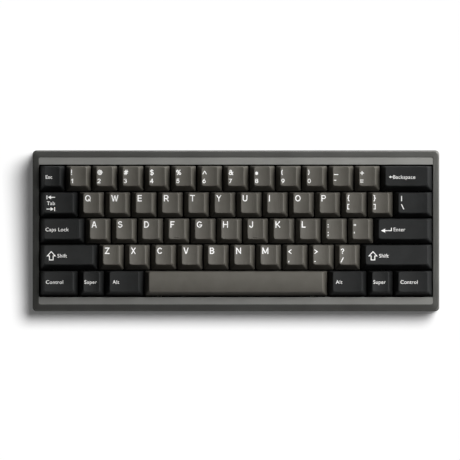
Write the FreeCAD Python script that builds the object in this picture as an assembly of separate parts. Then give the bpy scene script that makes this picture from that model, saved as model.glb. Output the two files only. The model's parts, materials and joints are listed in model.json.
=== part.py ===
import FreeCAD, Part
import math
import os

V = FreeCAD.Vector
os.makedirs("parts", exist_ok=True)

# A compact mechanical keyboard with sixty keys, in millimetres.
# Pieces are drawn in the deck frame: X to the right, Y to the back, Z square to the switch plate,
# with 0 on the plate's top face in the middle of the key field. Finished pieces are then tilted by
# the typing angle and set down so that the feet stand on Z = 0.

# Key grid
KEY_PITCH = 19.05
CAP_GAP = 0.89
KEY_TRAVEL = 4.0
TYPING_ANGLE = 6.0

# How far a cutter runs past the face that it opens
PAST = 1.0


def letter_keys(letters):
    return [("key_" + letter, 1) for letter in letters]


LAYOUT = [
    [("key_escape", 1)] + [("keys_one_to_six", 1)] * 6
    + [("keys_seven_to_equals", 1)] * 6 + [("key_backspace", 2)],
    [("key_tab", 1.5)] + letter_keys("qwertyuiop")
    + [("keys_square_brackets", 1)] * 2 + [("key_backslash", 1.5)],
    [("key_caps_lock", 1.75)] + letter_keys("asdfghjkl")
    + [("keys_semicolon_quote", 1)] * 2 + [("key_enter", 2.25)],
    [("key_left_shift", 2.25)] + letter_keys("zxcvbnm")
    + [("keys_comma_to_slash", 1)] * 3 + [("key_right_shift", 2.75)],
    [("keys_left_modifiers", 1.5), ("keys_left_modifiers", 1), ("keys_left_modifiers", 1.5)]
    + [("key_space", 7)]
    + [("keys_right_modifiers", 1.5), ("keys_right_modifiers", 1), ("keys_right_modifiers", 1.5)],
]

# Keycaps, back row first: height over the skirt, slope of the top and run of the front wall
CAP_HEIGHT = [9.4, 7.9, 7.3, 7.7, 7.7]
CAP_SLOPE = [0.0, 2.5, 5.0, 11.5, 6.0]
CAP_FRONT_RUN = [3.7, 3.0, 3.0, 3.3, 2.7]
CAP_BACK_RUN = 0.72
CAP_SIDE_RUN = 3.15
CAP_CORNER = 0.9
CAP_WALL = 1.4
CAP_DISH = 0.65
DISH_STEPS = 4
SPACE_CROWN = 0.8
SKIRT_LIFT = 6.2
POST_FIT = 0.15
POST_GAP = 0.05
CEILING_GAP = 0.25

# Switches
CUTOUT = 14.0
SWITCH_FIT = 0.05
FLANGE_LAP = 0.8
FLANGE_HEIGHT = 1.0
SWITCH_HEIGHT = 6.6
SWITCH_TOP_WIDTH = 10.9
SWITCH_TOP_DEPTH = 10.4
STEM_WIDTH = 7.0
STEM_DEPTH = 5.4
STEM_FIT = 0.2
STEM_LENGTH = 5.6
STEM_UNDERCLEARANCE = 0.6

# Plate and circuit board
PLATE_THICKNESS = 1.5
PLATE_TO_BOARD = 5.0
BOARD_THICKNESS = 1.6
BOARD_MARGIN = 0.6
BOARD_CLEARANCE = 4.0
CHIP_SIZE = 7.0
CHIP_HEIGHT = 0.9
CHIP_X = 62.0
CHIP_Y = 9.5

# Stabilisers under the wide keys: half the spacing of the two housings, by key
STABILISER_REACH = {
    "key_backspace": 11.938,
    "key_enter": 11.938,
    "key_left_shift": 11.938,
    "key_right_shift": 11.938,
    "key_space": 57.15,
}
HOUSING_WIDTH = 6.6
HOUSING_BACK = 6.6
HOUSING_HEIGHT = 4.5
HOUSING_FIT = 0.1
HOUSING_CAP_ROOM = 0.3
INSERT_WIDTH = 5.0
INSERT_DEPTH = 6.2
INSERT_FIT = 0.1
INSERT_UNDERCLEARANCE = 0.2
WIRE_RADIUS = 0.8
WIRE_SIDES = 8
WIRE_FIT = 0.1
WIRE_SLOT_FIT = 0.3
WIRE_ARM = 10.0
WIRE_PIVOT_Y = -9.0
WIRE_PLATE_GAP = 0.3
HOOK_THICKNESS = 0.4
HOOK_REACH = 1.3
HOOK_FIT = 0.6
HOOK_END_ROOM = 0.5
SHELF_LIP = 0.1

# Case: the opening round the keys, the ledges in front and behind, and the rim round them
OPENING_SIDE_GAP = 0.225
OPENING_END_GAP = 0.5
LEDGE_DEPTH = 5.225
SIDE_RIM = 4.5
END_RIM = 5.05
CASE_CORNER = 3.0
RIM_HEIGHT = 7.6
RIM_ROUND = 1.8
RIM_SLOPE = 20.0
RIM_LAND = 0.5
ROUND_STEPS = 3
CORNER_STEPS = 3
POCKET_CORNER = 1.5
POCKET_DROP = 0.2
FLOOR_THICKNESS = 1.4
BOTTOM_CHAMFER = 1.0
SEAM_GROOVE = 0.4

# Gasket seat of the plate
PLATE_SIDE_GAP = 0.7
PLATE_LAP = 1.5
PLATE_END_GAP = 0.3
TAB_X = 62.5
TAB_WIDTH = 30.0
TAB_REACH = 4.9
TAB_GAP = 0.5
GASKET_THICKNESS = 2.0
GASKET_WIDTH = 4.0

# Screws from below into the rim
SCREW_INSET = 22.6
SCREW_RADIUS = 1.5
SCREW_HEAD_RADIUS = 2.75
SCREW_HEAD_HEIGHT = 3.0
SCREW_HEAD_SEAT = 2.6
SCREW_THREAD_REACH = 6.0
SCREW_END_ROOM = 1.0
SCREW_CLEARANCE = 0.2
SCREW_KEY_SIZE = 2.5
SCREW_KEY_DEPTH = 1.5
ROUND_SIDES = 8

# Socket for the lead, under the board at the back left
USB_INSET = 28.275
USB_WIDTH = 8.94
USB_HEIGHT = 3.2
USB_LENGTH = 7.4
USB_WALL = 0.3
USB_BACK_WALL = 1.0
USB_TONGUE_SHORT = 1.0
USB_CORNER = 0.9
USB_TONGUE_WIDTH = 6.7
USB_TONGUE_HEIGHT = 0.7
USB_PROUD = 1.0
PORT_SIDE_ROOM = 1.83
PORT_ROOM = 1.9
PORT_CORNER = 1.6

# Feet
FOOT_LENGTH = 36.0
FOOT_WIDTH = 9.0
FOOT_CORNER = 2.0
FOOT_HEIGHT = 2.4
FOOT_RECESS = 1.0
FOOT_RECESS_FIT = 0.1
FOOT_SIDE_INSET = 35.6
FOOT_END_INSET = 13.4

# Plan sizes that follow from the values above
FIELD_WIDTH = KEY_PITCH * 15
FIELD_DEPTH = KEY_PITCH * len(LAYOUT)
OPENING_WIDTH = FIELD_WIDTH + 2 * OPENING_SIDE_GAP
OPENING_DEPTH = FIELD_DEPTH + 2 * OPENING_END_GAP
POCKET_DEPTH = OPENING_DEPTH + 2 * LEDGE_DEPTH
CASE_WIDTH = OPENING_WIDTH + 2 * SIDE_RIM
CASE_DEPTH = POCKET_DEPTH + 2 * END_RIM
PLATE_HALF_WIDTH = OPENING_WIDTH / 2 - PLATE_SIDE_GAP
PLATE_HALF_DEPTH = OPENING_DEPTH / 2 + PLATE_LAP
CAVITY_DEPTH = 2 * (PLATE_HALF_DEPTH + PLATE_END_GAP)
BOARD_WIDTH = FIELD_WIDTH - 2 * BOARD_MARGIN
BOARD_DEPTH = FIELD_DEPTH - 2 * BOARD_MARGIN
USB_X = USB_INSET - BOARD_WIDTH / 2
STEM_HOLE_WIDTH = STEM_WIDTH + 2 * STEM_FIT
STEM_HOLE_DEPTH = STEM_DEPTH + 2 * STEM_FIT
WELL_WIDTH = INSERT_WIDTH + 2 * INSERT_FIT
WELL_DEPTH = INSERT_DEPTH + 2 * INSERT_FIT

# Levels that follow
PLATE_BOTTOM = -PLATE_THICKNESS
BOARD_TOP = -PLATE_TO_BOARD
BOARD_BOTTOM = BOARD_TOP - BOARD_THICKNESS
SEAM = PLATE_BOTTOM - GASKET_THICKNESS
CAVITY_FLOOR = BOARD_BOTTOM - BOARD_CLEARANCE
LEDGE_UNDERSIDE = GASKET_THICKNESS
LEDGE_HEIGHT = RIM_HEIGHT - POCKET_DROP
STEM_BOTTOM = SWITCH_HEIGHT - STEM_LENGTH
WELL_FLOOR = STEM_BOTTOM - KEY_TRAVEL - STEM_UNDERCLEARANCE
CEILING = SWITCH_HEIGHT + KEY_TRAVEL + CEILING_GAP
ANGLE = math.radians(TYPING_ANGLE)
SCREW_SEAT = SEAM - SCREW_HEAD_SEAT
SCREW_TIP = SEAM + SCREW_THREAD_REACH
BOTTOM_AT_CENTRE = CAVITY_FLOOR - FLOOR_THICKNESS - CASE_DEPTH / 2 * math.tan(ANGLE)

# The stabiliser wire's place in its housing and insert
INSERT_BOTTOM = BOARD_TOP + KEY_TRAVEL + INSERT_UNDERCLEARANCE
HOOK_TOP = INSERT_BOTTOM + HOOK_THICKNESS
WIRE_END_Z = HOOK_TOP + HOOK_FIT + WIRE_RADIUS
WIRE_PIVOT_Z = PLATE_BOTTOM - WIRE_PLATE_GAP - WIRE_RADIUS
WIRE_REST_ANGLE = math.asin((WIRE_END_Z - WIRE_PIVOT_Z) / WIRE_ARM)
SHELF_FRONT = SHELF_LIP + WIRE_FIT + WIRE_RADIUS - WIRE_PIVOT_Y
ARM_SLOT_TOP = (WIRE_PIVOT_Z - (WIRE_PIVOT_Y + WELL_DEPTH / 2) * math.tan(WIRE_REST_ANGLE)
                + WIRE_RADIUS / math.cos(WIRE_REST_ANGLE) + WIRE_SLOT_FIT)


def box(width, depth, low, high, x=0.0, y=0.0):
    """A block centred on x, y between two levels."""
    corner = V(x - width / 2, y - depth / 2, low)
    return Part.makeBox(width, depth, high - low, corner)


def span(x0, x1, y0, y1, z0, z1):
    """A block between two opposite corners."""
    return Part.makeBox(x1 - x0, y1 - y0, z1 - z0, V(x0, y0, z0))


def octagon(left, right, front, back, corner, level):
    """The corners of a rectangle with its corners cut off at 45 degrees."""
    points = []
    for x, y, turn in ((right, back, 1), (left, back, -1), (left, front, 1), (right, front, -1)):
        inward_x = math.copysign(corner, x - (left + right) / 2)
        inward_y = math.copysign(corner, y - (front + back) / 2)
        pair = [V(x, y - inward_y, level), V(x - inward_x, y, level)]
        points += pair if turn > 0 else pair[::-1]
    return points


def rectangle(left, right, front, back, level):
    return [V(right, back, level), V(left, back, level), V(left, front, level), V(right, front, level)]


def rounded_outline(width, depth, radius, level):
    """The corners of a rectangle whose own corners are rounded in a few short flats."""
    points = []
    for quarter, (sx, sy) in enumerate(((1, 1), (-1, 1), (-1, -1), (1, -1))):
        centre = V(sx * (width / 2 - radius), sy * (depth / 2 - radius), level)
        for step in range(CORNER_STEPS + 1):
            a = math.radians(90) * (quarter + step / CORNER_STEPS)
            points.append(centre + V(math.cos(a), math.sin(a), 0) * radius)
    return points


def upright_bar(outline, low, high):
    """A flat outline drawn up from one level to another."""
    ring = [V(p.x, p.y, low) for p in outline]
    return Part.Face(Part.makePolygon(ring + ring[:1])).extrude(V(0, 0, high - low))


def wall(low_a, low_b, high_b, high_a):
    """The flats of a wall between two edges: one, or two with a ridge where its top slopes."""
    if abs(high_a.z - high_b.z) < 1e-6:
        return [[low_a, low_b, high_b, high_a]]
    if high_a.z > high_b.z:
        return [[low_a, low_b, high_a], [low_b, high_b, high_a]]
    return [[low_a, low_b, high_b], [low_a, high_b, high_a]]


def stacked(outlines):
    """A flat-sided solid through a stack of outlines with the same number of corners."""
    flats = [outlines[0], outlines[-1]]
    for lower, upper in zip(outlines, outlines[1:]):
        for i, corner in enumerate(lower):
            j = (i + 1) % len(lower)
            flats += wall(corner, lower[j], upper[j], upper[i])
    faces = [Part.Face(Part.makePolygon(ring + ring[:1])) for ring in flats]
    solid = Part.Solid(Part.Shell(faces))
    if solid.Volume < 0:
        solid.reverse()
    return solid


def tilt(shape):
    """Turn a piece from the deck frame to its place on the table."""
    placed = shape.copy()
    placed.rotate(V(0, 0, 0), V(1, 0, 0), TYPING_ANGLE)
    return placed


def moved(shape, x, y, z=0.0):
    copy = shape.copy()
    copy.translate(V(x, y, z))
    return copy


def key_places():
    """Node, width in units, row, and centre of each key."""
    places = []
    for row, keys in enumerate(LAYOUT):
        left = -FIELD_WIDTH / 2
        y = FIELD_DEPTH / 2 - (row + 0.5) * KEY_PITCH
        for node, units in keys:
            places.append((node, units, row, left + units * KEY_PITCH / 2, y))
            left += units * KEY_PITCH
    return places


def post_places(node):
    """Where a cap stands on something, from its own middle."""
    reach = STABILISER_REACH.get(node)
    return [0.0] if reach is None else [-reach, 0.0, reach]


def cap_top_ends(row, height):
    """Where a sloping top meets the front and the back wall, if the cap is this high."""
    half_depth = (KEY_PITCH - CAP_GAP) / 2
    fall = math.tan(math.radians(CAP_SLOPE[row]))
    front_lean = CAP_FRONT_RUN[row] / CAP_HEIGHT[row]
    back_lean = CAP_BACK_RUN / CAP_HEIGHT[row]
    front = -half_depth + front_lean * (height + half_depth * fall) / (1 + front_lean * fall)
    back = half_depth - back_lean * (height - half_depth * fall) / (1 - back_lean * fall)
    return front, back


def cap_outside(units, row):
    """The body of a cap, drawn taller than it is so that the top can be cut.

    Its side walls are drawn in alike from front to back, so that the sloping top is a rectangle.
    """
    half_width = (units * KEY_PITCH - CAP_GAP) / 2
    half_depth = (KEY_PITCH - CAP_GAP) / 2
    height = CAP_HEIGHT[row] + PAST
    side = CAP_SIDE_RUN * height / CAP_HEIGHT[row]
    front, back = cap_top_ends(row, height)
    lower = octagon(-half_width, half_width, -half_depth, half_depth, CAP_CORNER, SKIRT_LIFT)
    upper = octagon(-half_width + side, half_width - side, front, back, CAP_CORNER, SKIRT_LIFT + height)
    for corner in upper:
        corner.z -= corner.y * math.tan(math.radians(CAP_SLOPE[row]))
    return stacked([lower, upper])


def post(x):
    """A square post under the roof of a cap, slim enough for the hole that it dips into."""
    hole = WELL_WIDTH if x else STEM_HOLE_DEPTH
    size = hole - 2 * POST_FIT
    return box(size, size, SWITCH_HEIGHT + POST_GAP, CEILING + PAST, x)


def cap_cavity(units, row, node):
    """The hollow under a cap, with the posts left standing in it."""
    half_width = (units * KEY_PITCH - CAP_GAP) / 2 - CAP_WALL
    half_depth = (KEY_PITCH - CAP_GAP) / 2 - CAP_WALL
    share = (CEILING - SKIRT_LIFT) / CAP_HEIGHT[row]
    side = CAP_SIDE_RUN * share
    lower = rectangle(-half_width, half_width, -half_depth, half_depth, SKIRT_LIFT)
    upper = rectangle(-half_width + side, half_width - side,
                      -half_depth + CAP_FRONT_RUN[row] * share, half_depth - CAP_BACK_RUN * share,
                      CEILING)
    posts = [post(x) for x in post_places(node)]
    return stacked([lower, upper]).cut(Part.makeCompound(posts))


def arc_profile(chord, rise):
    """Points along a shallow arc, in flats, with the outer flats twice as long as the chord needs."""
    radius = chord ** 2 / (8 * rise) + rise / 2
    step = 2 * math.asin(chord / 2 / radius) / DISH_STEPS
    turns = [step * (i - DISH_STEPS / 2) for i in range(DISH_STEPS + 1)]
    points = [V(radius * math.sin(a), radius * (1 - math.cos(a)), 0) for a in turns]
    first, last = points[0] * 2 - points[1], points[-1] * 2 - points[-2]
    return [(point.x, point.y) for point in [first] + points[1:-1] + [last]]


def top_frame(row):
    """Directions along the sloping top of a cap, to the back, and square to it."""
    slope = math.radians(CAP_SLOPE[row])
    return V(0, math.cos(slope), -math.sin(slope)), V(0, math.sin(slope), math.cos(slope))


def dish_tool(units, row):
    """What is cut away over the hollow top of a cap, curved from side to side."""
    width = units * KEY_PITCH - CAP_GAP - 2 * CAP_SIDE_RUN
    along, up = top_frame(row)
    lowest = V(0, 0, SKIRT_LIFT + CAP_HEIGHT[row] - CAP_DISH)
    profile = arc_profile(width, CAP_DISH)
    ring = [lowest + V(x, 0, 0) + up * h for x, h in profile]
    ring += [lowest + V(x, 0, 0) + up * KEY_PITCH for x in (profile[-1][0], profile[0][0])]
    ring = [point - along * KEY_PITCH for point in ring]
    return Part.Face(Part.makePolygon(ring + ring[:1])).extrude(along * 2 * KEY_PITCH)


def crown_tool(units, row):
    """What is kept under the rounded top of the space bar, curved from front to back."""
    depth = KEY_PITCH - CAP_GAP - CAP_FRONT_RUN[row] - CAP_BACK_RUN
    middle = (CAP_FRONT_RUN[row] - CAP_BACK_RUN) / 2
    along, up = top_frame(row)
    highest = V(0, middle, SKIRT_LIFT + CAP_HEIGHT[row] - middle * math.tan(math.radians(CAP_SLOPE[row])))
    profile = arc_profile(depth, SPACE_CROWN)
    ring = [highest + along * y - up * h for y, h in profile]
    ring += [highest + along * y - up * KEY_PITCH for y in (profile[-1][0], profile[0][0])]
    half = units * KEY_PITCH / 2
    ring = [point - V(half, 0, 0) for point in ring]
    return Part.Face(Part.makePolygon(ring + ring[:1])).extrude(V(2 * half, 0, 0))


def keycap(units, row, node):
    body = cap_outside(units, row)
    if node == "key_space":
        body = body.common(crown_tool(units, row))
    else:
        body = body.cut(dish_tool(units, row))
    return body.cut(cap_cavity(units, row, node))


def stem():
    """The slider of a switch, which carries the cap."""
    return box(STEM_WIDTH, STEM_DEPTH, STEM_BOTTOM, SWITCH_HEIGHT)


def stem_hole(low, high):
    return box(STEM_HOLE_WIDTH, STEM_HOLE_DEPTH, low, high)


def switch_base():
    """The lower housing: a flange on the plate and a body through it, with a well for the stem."""
    body_size = CUTOUT - 2 * SWITCH_FIT
    body = box(body_size, body_size, BOARD_TOP, 0)
    flange_size = CUTOUT + 2 * FLANGE_LAP
    flange = box(flange_size, flange_size, 0, FLANGE_HEIGHT)
    return body.fuse(flange).cut(stem_hole(WELL_FLOOR, FLANGE_HEIGHT + PAST))


def switch_top():
    """The upper housing, a tapered cover with a hole for the stem."""
    half = CUTOUT / 2
    lower = rectangle(-half, half, -half, half, FLANGE_HEIGHT)
    upper = rectangle(-SWITCH_TOP_WIDTH / 2, SWITCH_TOP_WIDTH / 2,
                      -SWITCH_TOP_DEPTH / 2, SWITCH_TOP_DEPTH / 2, SWITCH_HEIGHT)
    return stacked([lower, upper]).cut(stem_hole(FLANGE_HEIGHT - PAST, SWITCH_HEIGHT + PAST))


def arm_slot_half():
    return WIRE_RADIUS + WIRE_SLOT_FIT


def housing_top_front():
    """Front of a housing's tall part, clear of the sloping front wall of a cap that is pressed down."""
    steepest = max(run / height for run, height in zip(CAP_FRONT_RUN, CAP_HEIGHT))
    covered = HOUSING_HEIGHT + KEY_TRAVEL - SKIRT_LIFT
    return CAP_WALL - (KEY_PITCH - CAP_GAP) / 2 + steepest * covered + HOUSING_CAP_ROOM


def stabiliser_housing():
    """A housing on the board with a well for the insert, a low front and a shelf for the wire."""
    half = HOUSING_WIDTH / 2
    front = WIRE_PIVOT_Y + WIRE_RADIUS + WIRE_FIT
    shelf_top = WIRE_PIVOT_Z - WIRE_RADIUS - WIRE_FIT
    step_top = SKIRT_LIFT - KEY_TRAVEL - HOUSING_CAP_ROOM
    tower = span(-half, half, housing_top_front(), HOUSING_BACK, BOARD_TOP, HOUSING_HEIGHT)
    step = span(-half, half, front, housing_top_front(), BOARD_TOP, step_top)
    shelf = span(-half, half, -SHELF_FRONT, front, BOARD_TOP, shelf_top)
    well = box(WELL_WIDTH, WELL_DEPTH, BOARD_TOP, HOUSING_HEIGHT + PAST)
    slot = span(-arm_slot_half(), arm_slot_half(), -SHELF_FRONT, 0, BOARD_TOP, ARM_SLOT_TOP)
    return tower.fuse([step, shelf]).removeSplitter().cut(well.fuse(slot))


def stabiliser_insert():
    """The slider of a stabiliser, with a hook at the foot that lifts the wire."""
    block = box(INSERT_WIDTH, INSERT_DEPTH, INSERT_BOTTOM, SWITCH_HEIGHT)
    wire_end = WIRE_PIVOT_Y + WIRE_ARM
    slot = span(-arm_slot_half(), arm_slot_half(), -INSERT_DEPTH / 2, wire_end + HOOK_END_ROOM,
                HOOK_TOP, WIRE_END_Z + WIRE_RADIUS + WIRE_SLOT_FIT)
    mouth = span(-arm_slot_half(), arm_slot_half(), -INSERT_DEPTH / 2, wire_end - HOOK_REACH,
                 INSERT_BOTTOM, HOOK_TOP)
    return block.cut(slot.fuse(mouth))


def stabiliser_wire(reach):
    """A bent wire: a bar in the two clips and an arm into each insert."""
    arm = V(0, math.cos(WIRE_REST_ANGLE), math.sin(WIRE_REST_ANGLE)) * WIRE_ARM
    left = V(-reach, WIRE_PIVOT_Y, WIRE_PIVOT_Z)
    right = V(reach, WIRE_PIVOT_Y, WIRE_PIVOT_Z)
    points = [left + arm, left, right, right + arm]
    path = Part.Wire([Part.LineSegment(a, b).toShape() for a, b in zip(points, points[1:])])
    turns = [2 * math.pi * (i + 0.5) / WIRE_SIDES for i in range(WIRE_SIDES)]
    rise = V(0, -math.sin(WIRE_REST_ANGLE), math.cos(WIRE_REST_ANGLE))
    ring = [points[0] + (V(1, 0, 0) * math.cos(a) + rise * math.sin(a)) * WIRE_RADIUS for a in turns]
    return path.makePipeShell([Part.makePolygon(ring + ring[:1])], True, True, 1)


def switch_plate(places):
    """The metal plate with a square hole for every switch and the tabs it is held by."""
    plate = box(2 * PLATE_HALF_WIDTH, 2 * PLATE_HALF_DEPTH, PLATE_BOTTOM, 0)
    tabs = [box(TAB_WIDTH, 2 * (PLATE_HALF_DEPTH + TAB_REACH), PLATE_BOTTOM, 0, x)
            for x in (-TAB_X, TAB_X)]
    low, high = PLATE_BOTTOM - PAST, PAST
    holes = []
    for node, units, row, x, y in places:
        holes.append(box(CUTOUT, CUTOUT, low, high, x, y))
        for post in post_places(node):
            if post:
                half = HOUSING_WIDTH / 2 + HOUSING_FIT
                holes.append(span(x + post - half, x + post + half, y - SHELF_FRONT - HOUSING_FIT,
                                  y + HOUSING_BACK + HOUSING_FIT, low, high))
    return plate.fuse(tabs).removeSplitter().cut(Part.makeCompound(holes))


def gasket_strips():
    """Soft strips over and under each tab of the plate."""
    outer = PLATE_HALF_DEPTH + TAB_REACH
    strips = []
    for side in (-1, 1):
        y = side * (outer - GASKET_WIDTH / 2)
        for x in (-TAB_X, TAB_X):
            strips.append(box(TAB_WIDTH, GASKET_WIDTH, 0, LEDGE_UNDERSIDE, x, y))
            strips.append(box(TAB_WIDTH, GASKET_WIDTH, SEAM, PLATE_BOTTOM, x, y))
    return strips


def circuit_board():
    return box(BOARD_WIDTH, BOARD_DEPTH, BOARD_BOTTOM, BOARD_TOP)


def controller_chip():
    return box(CHIP_SIZE, CHIP_SIZE, BOARD_BOTTOM - CHIP_HEIGHT, BOARD_BOTTOM, CHIP_X, CHIP_Y)


def usb_mouth():
    """Where the socket's mouth is, measured to the back."""
    return BOARD_DEPTH / 2 + USB_PROUD


def usb_level():
    return BOARD_BOTTOM - USB_HEIGHT / 2


def lying_bar(width, height, corner, y0, y1):
    """A bar with cut corners, running front to back at the socket's place."""
    outline = octagon(-width / 2, width / 2, -height / 2, height / 2, corner, 0)
    bar = upright_bar(outline, -y1, -y0)
    bar.rotate(V(0, 0, 0), V(1, 0, 0), 90)
    return moved(bar, USB_X, 0, usb_level())


def usb_socket():
    """A metal shell with a tongue in the middle."""
    back = usb_mouth() - USB_LENGTH
    shell = lying_bar(USB_WIDTH, USB_HEIGHT, USB_CORNER, back, usb_mouth())
    width = USB_WIDTH - 2 * USB_WALL
    height = USB_HEIGHT - 2 * USB_WALL
    hollow = lying_bar(width, height, USB_CORNER - USB_WALL / 2, back + USB_BACK_WALL, usb_mouth() + PAST)
    level = usb_level()
    tongue = span(USB_X - USB_TONGUE_WIDTH / 2, USB_X + USB_TONGUE_WIDTH / 2, back,
                  usb_mouth() - USB_TONGUE_SHORT,
                  level - USB_TONGUE_HEIGHT / 2, level + USB_TONGUE_HEIGHT / 2)
    return shell.cut(hollow).fuse(tongue)


def rim_sections():
    """Inset and level of each outline that makes the rounded and sloping edge of the rim."""
    turn = math.radians(90 - RIM_SLOPE)
    inset_end = SIDE_RIM - RIM_LAND
    round_inset = RIM_ROUND * (1 - math.cos(turn))
    fall = (inset_end - round_inset) * math.tan(math.radians(RIM_SLOPE))
    base = RIM_HEIGHT - fall - RIM_ROUND * math.sin(turn)
    sections = []
    for step in range(ROUND_STEPS + 1):
        a = turn * step / ROUND_STEPS
        sections.append((RIM_ROUND * (1 - math.cos(a)), base + RIM_ROUND * math.sin(a)))
    sections.append((inset_end, RIM_HEIGHT))
    return sections


def inset_outline(inset, level):
    """The case's outline drawn in, with corners that tighten towards the pocket's."""
    radius = CASE_CORNER + (POCKET_CORNER - CASE_CORNER) * inset / SIDE_RIM
    return rounded_outline(CASE_WIDTH - 2 * inset, CASE_DEPTH - 2 * inset, radius, level)


def screw_places():
    """In the middle of the front and back walls, near their ends."""
    x = CASE_WIDTH / 2 - SCREW_INSET
    y = (CAVITY_DEPTH + CASE_DEPTH) / 4
    return [(-x, -y), (x, -y), (-x, y), (x, y)]


def prism(radius, sides, low, high, x, y):
    """An upright bar with a regular outline."""
    turns = [2 * math.pi * (i + 0.5) / sides for i in range(sides)]
    ring = [V(x + radius * math.cos(a), y + radius * math.sin(a), low) for a in turns]
    return upright_bar(ring, low, high)


def round_bars(radius, low, high, places):
    return [prism(radius, ROUND_SIDES, low, high, x, y) for x, y in places]


def top_case():
    """The upper shell: a sloping rim round a pocket with a ledge in front and behind."""
    outlines = [inset_outline(SEAM_GROOVE, SEAM), inset_outline(0, SEAM + SEAM_GROOVE)]
    outlines += [inset_outline(inset, level) for inset, level in rim_sections()]
    shell = stacked(outlines)
    pocket_outline = rounded_outline(OPENING_WIDTH, POCKET_DEPTH, POCKET_CORNER, 0)
    pocket = upright_bar(pocket_outline, LEDGE_HEIGHT, RIM_HEIGHT + PAST)
    opening = box(OPENING_WIDTH, OPENING_DEPTH, SEAM - PAST, RIM_HEIGHT + PAST)
    seat = box(OPENING_WIDTH, CAVITY_DEPTH, SEAM - PAST, LEDGE_UNDERSIDE)
    pockets = [box(TAB_WIDTH + 2 * TAB_GAP, 2 * (PLATE_HALF_DEPTH + TAB_REACH + TAB_GAP),
                   SEAM - PAST, LEDGE_UNDERSIDE, x) for x in (-TAB_X, TAB_X)]
    threads = round_bars(SCREW_RADIUS, SEAM - PAST, SCREW_TIP + SCREW_END_ROOM, screw_places())
    for cutter in [pocket, opening, seat.fuse(pockets)] + threads:
        shell = shell.cut(cutter)
    return shell


def below_bottom():
    """All that lies under the case's bottom plane, which is level on the table."""
    size = CASE_WIDTH + CASE_DEPTH
    slab = Part.makeBox(2 * size, 2 * size, size, V(-size, -size, -size))
    slab.rotate(V(0, 0, 0), V(1, 0, 0), -TYPING_ANGLE)
    slab.translate(V(0, 0, BOTTOM_AT_CENTRE))
    return slab


def bottom_level(y):
    """Level of the case's bottom plane at a distance from the middle."""
    return BOTTOM_AT_CENTRE - y * math.tan(ANGLE)


def foot_places():
    x = CASE_WIDTH / 2 - FOOT_SIDE_INSET
    y = CASE_DEPTH / 2 - FOOT_END_INSET
    return [(-x, -y), (x, -y), (-x, y), (x, y)]


def foot_pads(grow, low, high):
    """Pads on the bottom plane, which is level on the table, between two heights over it."""
    pads = []
    for x, y in foot_places():
        half_length = FOOT_LENGTH / 2 + grow
        half_width = FOOT_WIDTH / 2 + grow
        outline = octagon(-half_length, half_length, -half_width, half_width, FOOT_CORNER, 0)
        pad = upright_bar(outline, low, high)
        pad.rotate(V(0, 0, 0), V(1, 0, 0), -TYPING_ANGLE)
        pads.append(moved(pad, x, y, bottom_level(y)))
    return pads


def case_screw(x, y):
    """A cap screw that comes up from a counterbore in the bottom case."""
    low = SCREW_SEAT - SCREW_HEAD_HEIGHT
    shank = prism(SCREW_RADIUS, ROUND_SIDES, SCREW_SEAT, SCREW_TIP, x, y)
    head = prism(SCREW_HEAD_RADIUS, ROUND_SIDES, low, SCREW_SEAT, x, y)
    socket = prism(SCREW_KEY_SIZE / math.sqrt(3), 6, low, low + SCREW_KEY_DEPTH, x, y)
    return head.fuse(shank).cut(socket)


def bottom_case():
    """The lower tray, thicker at the back, with the port for the lead."""
    deepest = bottom_level(CASE_DEPTH / 2) - PAST
    outlines = [inset_outline(0, deepest), inset_outline(0, SEAM - SEAM_GROOVE)]
    outlines.append(inset_outline(SEAM_GROOVE, SEAM))
    tray = stacked(outlines).cut(below_bottom())
    normal = V(0, -math.sin(ANGLE), -math.cos(ANGLE))
    base = [f for f in tray.Faces if f.normalAt(0, 0).getAngle(normal) < 0.01]
    tray = tray.makeChamfer(BOTTOM_CHAMFER, base[0].Edges)
    cavity = box(OPENING_WIDTH, CAVITY_DEPTH, CAVITY_FLOOR, SEAM + PAST)
    port = lying_bar(USB_WIDTH + 2 * PORT_SIDE_ROOM, USB_HEIGHT + 2 * PORT_ROOM, PORT_CORNER,
                     usb_mouth(), CASE_DEPTH)
    cutters = [cavity, port]
    cutters += round_bars(SCREW_RADIUS + SCREW_CLEARANCE, deepest, SEAM + PAST, screw_places())
    cutters += round_bars(SCREW_HEAD_RADIUS + SCREW_CLEARANCE, deepest, SCREW_SEAT, screw_places())
    cutters += foot_pads(FOOT_RECESS_FIT, -PAST, FOOT_RECESS)
    for cutter in cutters:
        tray = tray.cut(cutter)
    return tray


def rubber_feet():
    return foot_pads(0, FOOT_RECESS - FOOT_HEIGHT, FOOT_RECESS)


def build():
    """Every node with its solids, in the deck frame."""
    places = key_places()
    nodes = {
        "top_case": [top_case()],
        "bottom_case": [bottom_case()],
        "switch_plate": [switch_plate(places)],
        "circuit_board": [circuit_board()],
        "controller_chip": [controller_chip()],
        "usb_socket": [usb_socket()],
        "gasket_strips": gasket_strips(),
        "case_screws": [case_screw(x, y) for x, y in screw_places()],
        "rubber_feet": rubber_feet(),
        "switch_bases": [],
        "switch_tops": [],
        "stabiliser_housings": [],
    }
    for node, units, row, x, y in places:
        solids = nodes.setdefault(node, [])
        solids.append(moved(keycap(units, row, node), x, y))
        nodes["switch_bases"].append(moved(switch_base(), x, y))
        nodes["switch_tops"].append(moved(switch_top(), x, y))
        for post in post_places(node):
            solids.append(moved(stabiliser_insert() if post else stem(), x + post, y))
            if post:
                nodes["stabiliser_housings"].append(moved(stabiliser_housing(), x + post, y))
        if node in STABILISER_REACH:
            wire = stabiliser_wire(STABILISER_REACH[node])
            nodes[node.replace("key_", "wire_")] = [moved(wire, x, y)]
    return nodes


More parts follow.
